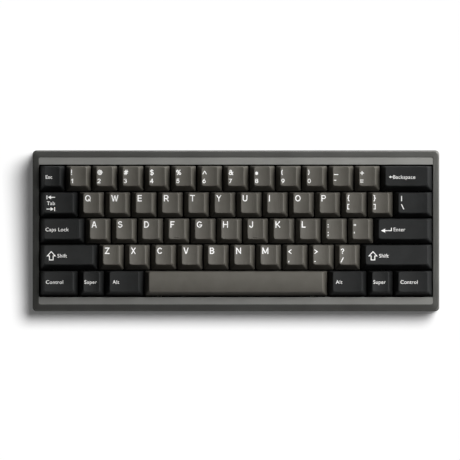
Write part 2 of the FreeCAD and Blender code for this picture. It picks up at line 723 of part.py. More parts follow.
def write(nodes):
    """Tilt the pieces onto the feet, centre them and write one file for each node."""
    tilted = {name: tilt(Part.makeCompound(solids)) for name, solids in nodes.items()}
    case_box = tilted["top_case"].BoundBox
    case_box.add(tilted["bottom_case"].BoundBox)
    floor = tilted["rubber_feet"].BoundBox.ZMin
    shift = V(-case_box.Center.x, -case_box.Center.y, -floor)
    for name, shape in tilted.items():
        shape.translate(shift)
        shape.exportStep("parts/" + name + ".step")
    print("shift", round(shift.x, 4), round(shift.y, 4), round(shift.z, 4), "nodes", len(tilted))


write(build())
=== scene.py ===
import json
import math
from collections import namedtuple

import bmesh
import bpy
from mathutils import Matrix, Vector


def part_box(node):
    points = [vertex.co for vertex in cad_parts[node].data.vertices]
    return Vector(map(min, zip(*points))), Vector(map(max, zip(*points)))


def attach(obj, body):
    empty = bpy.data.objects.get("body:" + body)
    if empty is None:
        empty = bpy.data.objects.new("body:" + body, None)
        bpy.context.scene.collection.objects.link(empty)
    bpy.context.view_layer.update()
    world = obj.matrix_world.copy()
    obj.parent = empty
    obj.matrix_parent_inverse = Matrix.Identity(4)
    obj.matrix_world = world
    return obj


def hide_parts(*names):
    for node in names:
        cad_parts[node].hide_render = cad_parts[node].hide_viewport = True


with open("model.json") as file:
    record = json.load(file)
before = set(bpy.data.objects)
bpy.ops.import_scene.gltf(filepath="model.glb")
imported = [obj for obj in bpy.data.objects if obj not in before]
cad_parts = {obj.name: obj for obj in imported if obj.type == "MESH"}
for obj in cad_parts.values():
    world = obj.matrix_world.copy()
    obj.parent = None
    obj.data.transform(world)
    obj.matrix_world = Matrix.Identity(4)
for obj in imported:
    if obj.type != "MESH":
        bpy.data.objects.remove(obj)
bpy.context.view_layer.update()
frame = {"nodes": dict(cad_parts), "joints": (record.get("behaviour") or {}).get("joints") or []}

# A compact mechanical keyboard. Pieces are drawn in millimetres in the deck frame: X to the right,
# Y to the back, Z square to the switch plate, with 0 on the plate's top in the middle of the keys.
MM = 0.001

# Key grid and keycaps, back row first. A run is how far a wall leans in over a cap's height.
KEY_PITCH = 19.05
CAP_GAP = 0.89
FIELD_WIDTH = 15 * KEY_PITCH
FIELD_DEPTH = 5 * KEY_PITCH
CAP_HEIGHT = [9.4, 7.9, 7.3, 7.7, 7.7]
CAP_SLOPE = [0.0, 2.5, 5.0, 11.5, 6.0]
CAP_FRONT_RUN = [3.7, 3.0, 3.0, 3.3, 2.7]
CAP_BACK_RUN = 0.72
CAP_SIDE_RUN = 3.15
CAP_CORNER = 1.0
CAP_TOP_CORNER = 1.5
CAP_TOP_ROUND = 0.55
CAP_WALL = 1.4
CAP_INNER_CORNER = 0.5
CAP_DISH = 0.65
SPACE_CROWN = 0.8
SKIRT_LIFT = 6.2
CEILING = 10.85
SWITCH_HEIGHT = 6.6
POST_RADIUS = 2.4
POST_GAP = 0.05
POST_INTO_CAP = 0.5
DISH_CUTS = 12
CAP_CORNER_STEPS = 5
CAP_ROUND_STEPS = 4
HOMING_BAR = (4.2, 0.7, 0.45)
HOMING_BAR_Y = -4.4

# The stems and stabiliser inserts: those of a key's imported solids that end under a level
SLIDER_LIMIT = 7.6
SLIDER_EDGE = 0.12

# Lettering: letters, pairs of signs and digits, and words. The weights are shares of the height,
# and WORD_CAPITAL is a capital's height in the built-in lettering.
LETTER_HEIGHT = 4.65
LETTER_LEFT = 1.3
LETTER_BASELINE = 2.3
SIGN_HEIGHT = 3.8
NUMBER_HEIGHT = 3.2
PAIR_LEFT = 1.0
NUMBER_ROW_LEFT = 0.75
PAIR_UPPER = 2.4
PAIR_LOWER = -3.5
LETTER_WEIGHT = 0.155
NUMBER_WEIGHT = 0.165
SIGN_WEIGHT = 0.16
WORD_HEIGHT = 2.55
WORD_BASELINE = -0.3
WORD_WEIGHT = 0.003
WORD_SPACING = 1.06
WORD_CAPITAL = 0.682
LEGEND_LIFT = 0.05
LEGEND_DEPTH = 0.15
STROKE_STEP = 0.008
ARC_STEP = 15

# The arrows beside the words, measured from the left end and the middle of each
MARK_WEIGHT = 0.58
TAB_ARROW_LENGTH = 5.6
TAB_ARROW_UP = 4.3
TAB_ARROW_DOWN = 4.2
TAB_HEAD_TIP = 0.7
TAB_HEAD_BACK = 3.0
TAB_HEAD_HALF = 1.35
TAB_STOP_HALF = 1.1
BACKSPACE_HEAD = 1.3
BACKSPACE_HEAD_HALF = 0.95
BACKSPACE_SHAFT = (1.4, 2.4)
ENTER_HEAD = 3.1
ENTER_HEAD_HALF = 1.45
ENTER_SHAFT = (3.2, 7.6)
ENTER_LOW = 0.8
ENTER_HIGH = 1.0
SHIFT_HALF = 2.85
SHIFT_STEM_HALF = 1.35
SHIFT_BARB = 0.1
SHIFT_TALL = 3.0

# Case
CASE_WIDTH = 295.2
CASE_DEPTH = 116.8
OPENING_WIDTH = 286.2
OPENING_DEPTH = 96.25
POCKET_DEPTH = 106.7
CASE_CORNER = 3.0
POCKET_CORNER = 1.5
OPENING_CORNER = 0.3
RIM_HEIGHT = 7.6
RIM_ROUND = 1.1
RIM_SLOPE = math.radians(3.0)
RIM_LAND = 0.5
RIM_INSET = (CASE_WIDTH - OPENING_WIDTH) / 2 - RIM_LAND
RIM_EDGE = 0.08
LEDGE_HEIGHT = 7.4
LEDGE_UNDERSIDE = 2.0
LEDGE_TOLERANCE = 0.02
# At its sides the ledge is a hair's breadth, which keeps the corners of the opening apart
SIDE_LEDGE = 0.1
SEAM = -3.5
SEAM_GROOVE = 0.4
CAVITY_DEPTH = 99.85
CAVITY_FLOOR = -10.6
BOTTOM_ROUND = 1.2
BOTTOM_ROUND_STEPS = 4
RIM_ROUND_STEPS = 10
RIM_CORNER_STEPS = 12
TAB_X = 62.5
TAB_POCKET = (31.0, 109.1)

# For all turned corners and softened edges: their steps, how far a cut goes past what it cuts,
# and how close points are made one
CORNER_STEPS = 8
EDGE_STEPS = 3
CUT_PAST = 1.0
MERGE_DISTANCE = 0.001

# Screws, port and feet
SCREW_PLACES = [(sx * 125.0, sy * 54.1625) for sx in (-1, 1) for sy in (-1, 1)]
SCREW_RADIUS = 1.5
SCREW_HEAD_RADIUS = 2.75
SCREW_HEAD_HEIGHT = 3.0
SCREW_SEAT = -6.1
SCREW_TIP = 2.5
SCREW_HOLE_ROOM = 0.2
SCREW_KEY = 1.45
SCREW_KEY_DEPTH = 1.5
SCREW_EDGE = 0.3
SHANK_INTO_HEAD = 0.2
USB_X = -114.0
USB_LEVEL = -8.2
USB_HALF = (4.47, 1.6)
USB_CORNER = 1.55
USB_WALL = 0.3
USB_MOUTH = 48.025
USB_LENGTH = 7.4
USB_BACK_WALL = 1.0
USB_TONGUE = (6.7, 5.9)
USB_TONGUE_HALF = 0.35
USB_TONGUE_START = 0.5
USB_TONGUE_EDGE = 0.15
PORT_HALF = (6.3, 3.5)
PORT_CORNER = 2.2
FOOT_PLACES = [(sx * 112.0, sy * 45.0) for sx in (-1, 1) for sy in (-1, 1)]
FOOT_HALF = (18.0, 4.5)
FOOT_CORNER = 3.5
FOOT_HEIGHT = 2.4
FOOT_RECESS = 1.0
FOOT_RECESS_ROOM = 0.1
FOOT_EDGE = 0.5

# Stabiliser wires
WIRE_RADIUS = 0.8
WIRE_BEND = 1.6
WIRE_BEND_STEPS = 6
WIRE_ARM = 10.0
WIRE_PIVOT_Y = -9.0
WIRE_PIVOT_Z = -2.6
WIRE_RISE = 3.6
WIRE_REST_ANGLE = math.asin(WIRE_RISE / WIRE_ARM)
WIRE_REACH = {"space": 57.15, "backspace": 11.938, "enter": 11.938,
              "left_shift": 11.938, "right_shift": 11.938}

# The deck's place on the table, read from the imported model
PLATE_THICKNESS = 1.5
DECK_UP = -Vector(frame["joints"][0]["axis"]).normalized()
TILT = math.atan2(-DECK_UP.y, DECK_UP.z)
plate_low, plate_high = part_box("switch_plate")
DECK_ORIGIN = (plate_low + plate_high) / 2 + DECK_UP * PLATE_THICKNESS / 2 * MM
DECK = Matrix.Translation(DECK_ORIGIN) @ Matrix.Rotation(TILT, 4, "X") @ Matrix.Scale(MM, 4)
CASE_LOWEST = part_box("bottom_case")[0].z / MM

# Faces that meet at less than this angle, in degrees, are shaded as one curved surface. The case's
# rim has a low one, so that its broad faces stay flat.
SMOOTH_ANGLE = 40.0
CAP_SMOOTH_ANGLE = 35.0
RIM_SMOOTH_ANGLE = 9.0

# A rectangle with round corners: its middle in depth, and its level or a function of depth
Outline = namedtuple("Outline", "half_x half_y middle corner level")


def single_keys(letters):
    """Keys one unit wide, each a node of its own."""
    return [("key_" + letter, 1, letter.upper()) for letter in letters]


def group(node, legends):
    """Keys one unit wide that share a node."""
    return [(node, 1, legend) for legend in legends]


# Each row's keys from the left: node, width in units and lettering
LAYOUT = [
    [("key_escape", 1, "Esc")] + group("keys_one_to_six", ["!1", "@2", "#3", "$4", "%5", "^6"])
    + group("keys_seven_to_equals", ["&7", "*8", "(9", ")0", "_-", "+="])
    + [("key_backspace", 2, "Backspace")],
    [("key_tab", 1.5, "Tab")] + single_keys("qwertyuiop")
    + group("keys_square_brackets", ["{[", "}]"]) + [("key_backslash", 1.5, "|\\")],
    [("key_caps_lock", 1.75, "Caps Lock")] + single_keys("asdfghjkl")
    + group("keys_semicolon_quote", [":;", "\"'"]) + [("key_enter", 2.25, "Enter")],
    [("key_left_shift", 2.25, "Shift")] + single_keys("zxcvbnm")
    + group("keys_comma_to_slash", ["<,", ">.", "?/"]) + [("key_right_shift", 2.75, "Shift")],
    [("keys_left_modifiers", 1.5, "Control"), ("keys_left_modifiers", 1, "Super"),
     ("keys_left_modifiers", 1.5, "Alt"), ("key_space", 7, ""),
     ("keys_right_modifiers", 1.5, "Alt"), ("keys_right_modifiers", 1, "Super"),
     ("keys_right_modifiers", 1.5, "Control")],
]
CHARCOAL_KEYS = ("key_escape", "key_backspace", "key_tab", "key_backslash", "key_caps_lock",
                 "key_enter", "key_left_shift", "key_right_shift",
                 "keys_left_modifiers", "keys_right_modifiers")

# How far each word starts from the left edge of its keycap's top
WORD_LEFT = {"Esc": 1.3, "Backspace": 5.7, "Tab": 2.2, "Caps Lock": 1.2, "Enter": 10.8,
             "Shift": 9.8, "Control": 1.5, "Super": 0.8, "Alt": 2.2, "|\\": 2.0}


# Materials

def linear(hex_colour):
    """An sRGB hex colour as linear red, green, blue and alpha."""
    channels = [int(hex_colour[i:i + 2], 16) / 255 for i in (1, 3, 5)]
    return [c / 12.92 if c <= 0.04045 else ((c + 0.055) / 1.055) ** 2.4 for c in channels] + [1.0]


def scale_of(millimetres):
    """The texture scale whose cells are this wide."""
    return 1 / (millimetres * MM)


def add(tree, kind, settings=None, links=None):
    """Adds a node to a material, with settings by socket or property, and links by socket."""
    made = tree.nodes.new(kind)
    for name, value in (settings or {}).items():
        if isinstance(name, int) or name in made.inputs:
            made.inputs[name].default_value = value
        else:
            setattr(made, name, value)
    for name, source in (links or {}).items():
        tree.links.new(source, made.inputs[name])
    return made


def new_material(name):
    """An empty material, its node tree and the place of each point on the object."""
    material = bpy.data.materials.new(name)
    material.use_nodes = True
    tree = material.node_tree
    tree.nodes.clear()
    place = add(tree, "ShaderNodeTexCoord").outputs["Object"]
    return material, tree, place


def finish_with(tree, settings, links):
    """Ends a material in its shader."""
    surface = add(tree, "ShaderNodeBsdfPrincipled", settings, links)
    add(tree, "ShaderNodeOutputMaterial", links={"Surface": surface.outputs[0]})


def spread(low, high):
    """Settings that stretch the middle of a noise over a range of values."""
    return {"From Min": 0.3, "From Max": 0.7, "To Min": low, "To Max": high}


def two_colours(first, second):
    """Settings of a colour mix."""
    return {"data_type": "RGBA", 6: linear(first), 7: linear(second)}


def mottled(tree, place, first, second, size):
    """A colour that drifts between two shades, in soft patches of a size in millimetres."""
    cloud = add(tree, "ShaderNodeTexNoise", {"Scale": scale_of(size)}, {"Vector": place})
    patches = add(tree, "ShaderNodeMapRange", spread(0.0, 1.0), {"Value": cloud.outputs["Fac"]})
    colour = add(tree, "ShaderNodeMix", two_colours(first, second), {0: patches.outputs["Result"]})
    return colour.outputs[2]


def pitted(tree, place, roughness, change, size, depth, strength):
    """The roughness and relief of a surface with fine pits, their size and depth in millimetres."""
    pits = add(tree, "ShaderNodeTexNoise", {"Scale": scale_of(size), "Detail": 3.0},
               {"Vector": place})
    sheen = add(tree, "ShaderNodeMapRange", spread(roughness - change, roughness + change),
                {"Value": pits.outputs["Fac"]})
    relief = add(tree, "ShaderNodeBump", {"Distance": depth * MM, "Strength": strength},
                 {"Height": pits.outputs["Fac"]})
    return sheen.outputs["Result"], relief.outputs["Normal"]


def moulded_plastic(name, first, second, roughness, specular=0.5):
    """Plastic from a spark-eroded mould: an even colour under a matt grain.

    The real grain is about a tenth of a millimetre, and is drawn coarser so that it shows."""
    material, tree, place = new_material(name)
    colour = mottled(tree, place, first, second, size=9.0)
    sheen, relief = pitted(tree, place, roughness, change=0.06, size=0.35, depth=0.02,
                           strength=0.6)
    finish_with(tree, {"IOR": 1.49, "Specular IOR Level": specular},
                {"Base Color": colour, "Roughness": sheen, "Normal": relief})
    return material


def blasted_metal(name, first, second, roughness, glancing="#ffffff"):
    """Bead-blasted and anodised aluminium: a dull sheen broken up by round pits.

    The real pits are about a tenth of a millimetre, and are drawn coarser so that they show."""
    material, tree, place = new_material(name)
    colour = mottled(tree, place, first, second, size=25.0)
    sheen, relief = pitted(tree, place, roughness, change=0.05, size=0.3, depth=0.012,
                           strength=0.5)
    finish_with(tree, {"Metallic": 1.0, "Specular Tint": linear(glancing)},
                {"Base Color": colour, "Roughness": sheen, "Normal": relief})
    return material


def drawn_steel(name, colour, roughness):
    """Steel with the fine lines of drawing or turning, twelve times as long along X as wide."""
    material, tree, place = new_material(name)
    stretched = add(tree, "ShaderNodeMapping", {"Scale": (1.0, 12.0, 12.0)}, {"Vector": place})
    lines = add(tree, "ShaderNodeTexNoise", {"Scale": scale_of(2.0), "Detail": 3.0},
                {"Vector": stretched.outputs["Vector"]})
    sheen = add(tree, "ShaderNodeMapRange", spread(roughness - 0.08, roughness + 0.08),
                {"Value": lines.outputs["Fac"]})
    finish_with(tree, {"Metallic": 1.0, "Base Color": linear(colour)},
                {"Roughness": sheen.outputs["Result"]})
    return material


def soft_rubber(name, colour, dust, cell):
    """Moulded rubber or foam: matt, with fine cells and a trace of dust."""
    material, tree, place = new_material(name)
    dusty = mottled(tree, place, colour, dust, size=6.0)
    cells = add(tree, "ShaderNodeTexNoise", {"Scale": scale_of(cell), "Detail": 4.0},
                {"Vector": place})
    relief = add(tree, "ShaderNodeBump", {"Distance": 0.05 * MM, "Strength": 0.8},
                 {"Height": cells.outputs["Fac"]})
    finish_with(tree, {"IOR": 1.5, "Roughness": 0.85},
                {"Base Color": dusty, "Normal": relief.outputs["Normal"]})
    return material


def board_laminate():
    """Glass laminate under dark solder mask, with faint copper tracks along the board."""
    material, tree, place = new_material("solder_masked_laminate")
    tracks = add(tree, "ShaderNodeTexWave", {"Scale": scale_of(40.0), "Distortion": 3.0,
                                             "bands_direction": "Y"}, {"Vector": place})
    copper = add(tree, "ShaderNodeMapRange", spread(0.0, 1.0), {"Value": tracks.outputs["Fac"]})
    mask = add(tree, "ShaderNodeMix", two_colours("#10181a", "#1a2a28"),
               {0: copper.outputs["Result"]})
    relief = add(tree, "ShaderNodeBump", {"Distance": 0.03 * MM, "Strength": 0.4},
                 {"Height": copper.outputs["Result"]})
    finish_with(tree, {"Roughness": 0.35, "IOR": 1.55},
                {"Base Color": mask.outputs[2], "Normal": relief.outputs["Normal"]})
    return material


# The caps' plastic, matt from its fine grain: a warm grey, and a charcoal with less sheen
CAP_GREY = moulded_plastic("grained_plastic_warm_grey", "#524f48", "#58554e", 0.62)
CAP_CHARCOAL = moulded_plastic("grained_plastic_charcoal", "#1c1d1d", "#222323", 0.66, 0.25)
# The second shot of plastic that makes the lettering, a little smoother than the caps
LEGEND_WHITE = moulded_plastic("grained_plastic_white", "#f1f0ee", "#f6f5f3", 0.45)
# The case's anodised finish, dark and dull at a low angle, and a lighter copy of it that is painted
# reflection on the ledges
CASE_METAL = blasted_metal("blasted_aluminium_warm_grey", "#646461", "#6e6e6b", 0.46, "#242424")
LEDGE_PAINTED_REFLECTION = blasted_metal("blasted_aluminium_painted_reflection", "#a6a6a2", "#b0b0ac", 0.5, "#6a6a68")
# The switch plate's black anodising, dark between the caps
PLATE_METAL = blasted_metal("blasted_aluminium_black", "#1c1c1c", "#242424", 0.5)
# The board's soft gloss, and the dull black resin of its chip
BOARD = board_laminate()
CHIP = moulded_plastic("moulded_resin_black", "#161616", "#1c1c1c", 0.6)
# Foam with small closed cells, and rubber with a finer skin; both swallow the light
FOAM = soft_rubber("closed_cell_foam", "#161616", "#202020", 0.8)
RUBBER = soft_rubber("moulded_rubber", "#141414", "#232321", 0.4)
# Steel, bright where it is stamped or drawn, and blackened on the screws
SOCKET_STEEL = drawn_steel("stamped_steel", "#c9c9c6", 0.3)
SCREW_STEEL = drawn_steel("blackened_steel", "#2a2a2a", 0.4)
WIRE_STEEL = drawn_steel("drawn_spring_wire", "#b9b6ac", 0.28)
# Low-friction plastics with a slight sheen: housings, their covers and the sliders
NYLON = moulded_plastic("moulded_nylon_black", "#1b1b1b", "#212121", 0.55)
SWITCH_COVER = moulded_plastic("moulded_nylon_smoke", "#262626", "#2c2c2c", 0.4)
STEM_PLASTIC = moulded_plastic("moulded_acetal_grey", "#55534e", "#5b5954", 0.4)


# Mesh helpers

def draw_in(value, old_half, old_corner, new_half, new_corner):
    """Where a point of a rounded outline goes, along one direction, when the outline changes."""
    straight = old_half - old_corner
    beyond = max(0.0, abs(value) - straight)
    inner = min(abs(value), straight) * (new_half - new_corner) / straight
    return math.copysign(inner + beyond * new_corner / old_corner, value)


def level_at(outline, y):
    """An outline's level at a depth."""
    return outline.level(y) if callable(outline.level) else outline.level


def redrawn(co, old, new):
    """A point of one rounded outline moved to the same point of another."""
    x = draw_in(co.x, old.half_x, old.corner, new.half_x, new.corner)
    y = new.middle + draw_in(co.y - old.middle, old.half_y, old.corner, new.half_y, new.corner)
    return Vector((x, y, level_at(new, y)))


def lofted(outlines, corner_steps):
    """A closed skin through a chain of rounded outlines, and the points of each."""
    bm = bmesh.new()
    first = outlines[0]
    bmesh.ops.create_grid(bm, x_segments=1, y_segments=1, size=1)
    bmesh.ops.scale(bm, vec=(first.half_x, first.half_y, 1), verts=bm.verts[:])
    bmesh.ops.bevel(bm, geom=bm.verts[:], offset=first.corner, affect="VERTICES",
                    segments=corner_steps, profile=0.5, material=-1)
    for v in bm.verts:
        v.co.y += first.middle
        v.co.z = level_at(first, v.co.y)
    face = bm.faces[:][0]
    rings = [list(face.verts)]
    for old, new in zip(outlines, outlines[1:]):
        made = bmesh.ops.extrude_face_region(bm, geom=[face] + list(face.edges))["geom"]
        face = next(g for g in made if isinstance(g, bmesh.types.BMFace))
        for v in face.verts:
            v.co = redrawn(v.co, old, new)
        rings.append(list(face.verts))
    bmesh.ops.recalc_face_normals(bm, faces=bm.faces[:])
    return bm, rings


def ring_edges(points):
    """The edges that join the points of one outline."""
    members = set(points)
    found = {e for v in points for e in v.link_edges if e.other_vert(v) in members}
    return [e for e in found if any(len(members.intersection(f.verts)) < len(f.verts)
                                    for f in e.link_faces)]


def round_over(bm, edges, radius, steps):
    bmesh.ops.bevel(bm, geom=edges, offset=radius, affect="EDGES", segments=steps, profile=0.5,
                    material=-1, clamp_overlap=True)


def shift(bm, x, y, z=0.0):
    bmesh.ops.translate(bm, vec=(x, y, z), verts=bm.verts[:])


def block(width, depth, low, high, x=0.0, y=0.0, edge=0.0, steps=2):
    """A block between two levels, with its edges rounded if it has an edge radius."""
    bm = bmesh.new()
    bmesh.ops.create_cube(bm, size=1)
    bmesh.ops.scale(bm, vec=(width, depth, high - low), verts=bm.verts[:])
    shift(bm, x, y, (low + high) / 2)
    if edge:
        round_over(bm, bm.edges[:], edge, steps)
    return bm


def rod(radius, low, high, x, y, sides=32, edge=0.0):
    """An upright round bar, with its top and bottom edges rounded if it has an edge radius."""
    bm = bmesh.new()
    bmesh.ops.create_cone(bm, cap_ends=True, segments=sides, radius1=radius, radius2=radius,
                          depth=high - low)
    shift(bm, x, y, (low + high) / 2)
    if edge:
        ends = [e for e in bm.edges if abs(e.verts[0].co.z - e.verts[1].co.z) < 1e-6]
        round_over(bm, ends, edge, EDGE_STEPS)
    return bm


def joined(parts):
    """Several meshes as one."""
    total = bmesh.new()
    for part in parts:
        mesh = bpy.data.meshes.new("part")
        part.to_mesh(mesh)
        part.free()
        total.from_mesh(mesh)
        bpy.data.meshes.remove(mesh)
    return total


def temporary(bm):
    """A mesh as an object that a modifier can work on."""
    mesh = bpy.data.meshes.new("temporary")
    bm.to_mesh(mesh)
    bm.free()
    obj = bpy.data.objects.new("temporary", mesh)
    bpy.context.scene.collection.objects.link(obj)
    return obj


def discard(obj):
    mesh = obj.data
    bpy.data.objects.remove(obj)
    bpy.data.meshes.remove(mesh)


def mesh_of(curve):
    """A curve or text as a mesh."""
    obj = bpy.data.objects.new("temporary", curve)
    mesh = bpy.data.meshes.new_from_object(obj)
    bm = bmesh.new()
    bm.from_mesh(mesh)
    bpy.data.objects.remove(obj)
    bpy.data.curves.remove(curve)
    bpy.data.meshes.remove(mesh)
    return bm


def with_modifier(bm, kind, settings):
    """The mesh that a modifier makes of this one."""
    obj = temporary(bm)
    modifier = obj.modifiers.new("shaping", kind)
    for name, value in settings.items():
        setattr(modifier, name, value)
    result = bmesh.new()
    result.from_object(obj, bpy.context.evaluated_depsgraph_get())
    discard(obj)
    return result


def carved(bm, cutters):
    """A solid with closed shapes cut out of it."""
    tool = temporary(joined(cutters))
    result = with_modifier(bm, "BOOLEAN", {"operation": "DIFFERENCE", "solver": "EXACT",
                                           "use_self": True, "object": tool})
    discard(tool)
    return result


def piece(name, bm, body, materials, slot, replaced=(), smooth=SMOOTH_ANGLE):
    """Sets a drawn mesh down in its place as a piece that moves with its body."""
    bm.transform(DECK)
    mesh = bpy.data.meshes.new(name)
    bm.to_mesh(mesh)
    bm.free()
    mesh.shade_smooth()
    mesh.set_sharp_from_angle(angle=math.radians(smooth))
    for material in materials:
        mesh.materials.append(material)
    obj = bpy.data.objects.new(name, mesh)
    bpy.context.scene.collection.objects.link(obj)
    even = obj.modifiers.new("even_shading", "WEIGHTED_NORMAL")
    even.keep_sharp = True
    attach(obj, body)
    if replaced:
        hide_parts(*replaced)


# Keycaps

class CapShape:
    """The sizes of one keycap, measured from its own middle."""

    def __init__(self, units, row, crowned):
        self.half_width = (units * KEY_PITCH - CAP_GAP) / 2
        self.half_depth = (KEY_PITCH - CAP_GAP) / 2
        self.height = CAP_HEIGHT[row]
        self.front_run = CAP_FRONT_RUN[row]
        self.slope = math.radians(CAP_SLOPE[row])
        self.crowned = crowned
        self.top = self.outline(SKIRT_LIFT + self.height)
        chord = 2 * (self.top.half_y if crowned else self.top.half_x)
        rise = SPACE_CROWN if crowned else CAP_DISH
        self.radius = chord ** 2 / (8 * rise) + rise / 2

    def outline(self, level, wall=0.0):
        """The cap's outline at a level, drawn in by the wall's thickness."""
        share = (level - SKIRT_LIFT) / self.height
        corner = CAP_CORNER + (CAP_TOP_CORNER - CAP_CORNER) * share
        return Outline(self.half_width - CAP_SIDE_RUN * share - wall,
                       self.half_depth - (self.front_run + CAP_BACK_RUN) / 2 * share - wall,
                       (self.front_run - CAP_BACK_RUN) / 2 * share, corner, level)

    def top_level(self, x, y):
        """The height of the finished top over a point, hollow or crowned."""
        plane = SKIRT_LIFT + self.height - y * math.tan(self.slope)
        away = (y - self.top.middle) / math.cos(self.slope) if self.crowned else x
        bow = (self.radius - math.sqrt(self.radius ** 2 - away ** 2)) / math.cos(self.slope)
        if self.crowned:
            return plane - bow
        return plane - CAP_DISH + bow

    def cuts(self):
        """Where the top is divided so that it can bend."""
        if self.crowned:
            reach, middle = self.top.half_y - self.top.corner, self.top.middle
        else:
            reach, middle = self.top.half_x - self.top.corner, 0.0
        return [middle + reach * (2 * i / DISH_CUTS - 1) for i in range(1, DISH_CUTS)]


def cut_across(bm, geometry, places, along_y):
    """Divides flat shapes along straight cuts, so that they can bend."""
    for place in places:
        alive = [g for g in geometry if g.is_valid]
        point = (0, place, 0) if along_y else (place, 0, 0)
        normal = (0, 1, 0) if along_y else (1, 0, 0)
        made = bmesh.ops.bisect_plane(bm, geom=alive, dist=1e-5, plane_co=point, plane_no=normal)
        geometry = list(set(made["geom"]) | set(made["geom_cut"]))


def settle_top(point, shape):
    """A point of the flat top moved along the front and back walls to the finished surface."""
    y = point.y
    for _ in range(3):
        y = redrawn(point, shape.top, shape.outline(shape.top_level(point.x, y))).y
    return Vector((point.x, y, shape.top_level(point.x, y)))


def keycap(shape, posts, homing):
    """One hollow cap with its posts, drawn round its own middle."""
    ceiling = shape.outline(CEILING, CAP_WALL)._replace(corner=CAP_INNER_CORNER)
    mouth = shape.outline(SKIRT_LIFT, CAP_WALL)._replace(corner=CAP_INNER_CORNER)
    chain = [ceiling, mouth, shape.outline(SKIRT_LIFT), shape.top]
    bm, rings = lofted(chain, CAP_CORNER_STEPS)
    top = next(f for f in bm.faces if all(v in set(rings[-1]) for v in f.verts))
    cut_across(bm, [top] + list(top.edges) + list(top.verts), shape.cuts(), shape.crowned)
    summit = [v for v in bm.verts if abs(v.co.z - shape.top.level) < 1e-4]
    members = set(summit)
    for v in summit:
        v.co = settle_top(v.co.copy(), shape)
    surface = {f for f in bm.faces if all(v in members for v in f.verts)}
    rim = [e for e in bm.edges if len(surface.intersection(e.link_faces)) == 1]
    bm.normal_update()
    round_over(bm, rim, CAP_TOP_ROUND, CAP_ROUND_STEPS)
    low, high = SWITCH_HEIGHT + POST_GAP, CEILING + POST_INTO_CAP
    parts = [bm] + [rod(POST_RADIUS, low, high, x, 0) for x in posts]
    if homing:
        width, depth, height = HOMING_BAR
        level = shape.top_level(0, HOMING_BAR_Y)
        parts.append(block(width, depth, level - height, level + height / 2, 0, HOMING_BAR_Y,
                           height / 3, EDGE_STEPS))
    return joined(parts)


# Lettering

def arc(middle_x, middle_y, half_x, half_y, start, end):
    """Points along part of an ellipse, between two angles in degrees."""
    steps = max(2, round(abs(end - start) / ARC_STEP))
    turns = [math.radians(start + (end - start) * i / steps) for i in range(steps + 1)]
    return [(middle_x + half_x * math.cos(a), middle_y + half_y * math.sin(a)) for a in turns]


def ring(middle_x, middle_y, half_x, half_y):
    return arc(middle_x, middle_y, half_x, half_y, 0, 360)


def line(*places):
    return list(places)


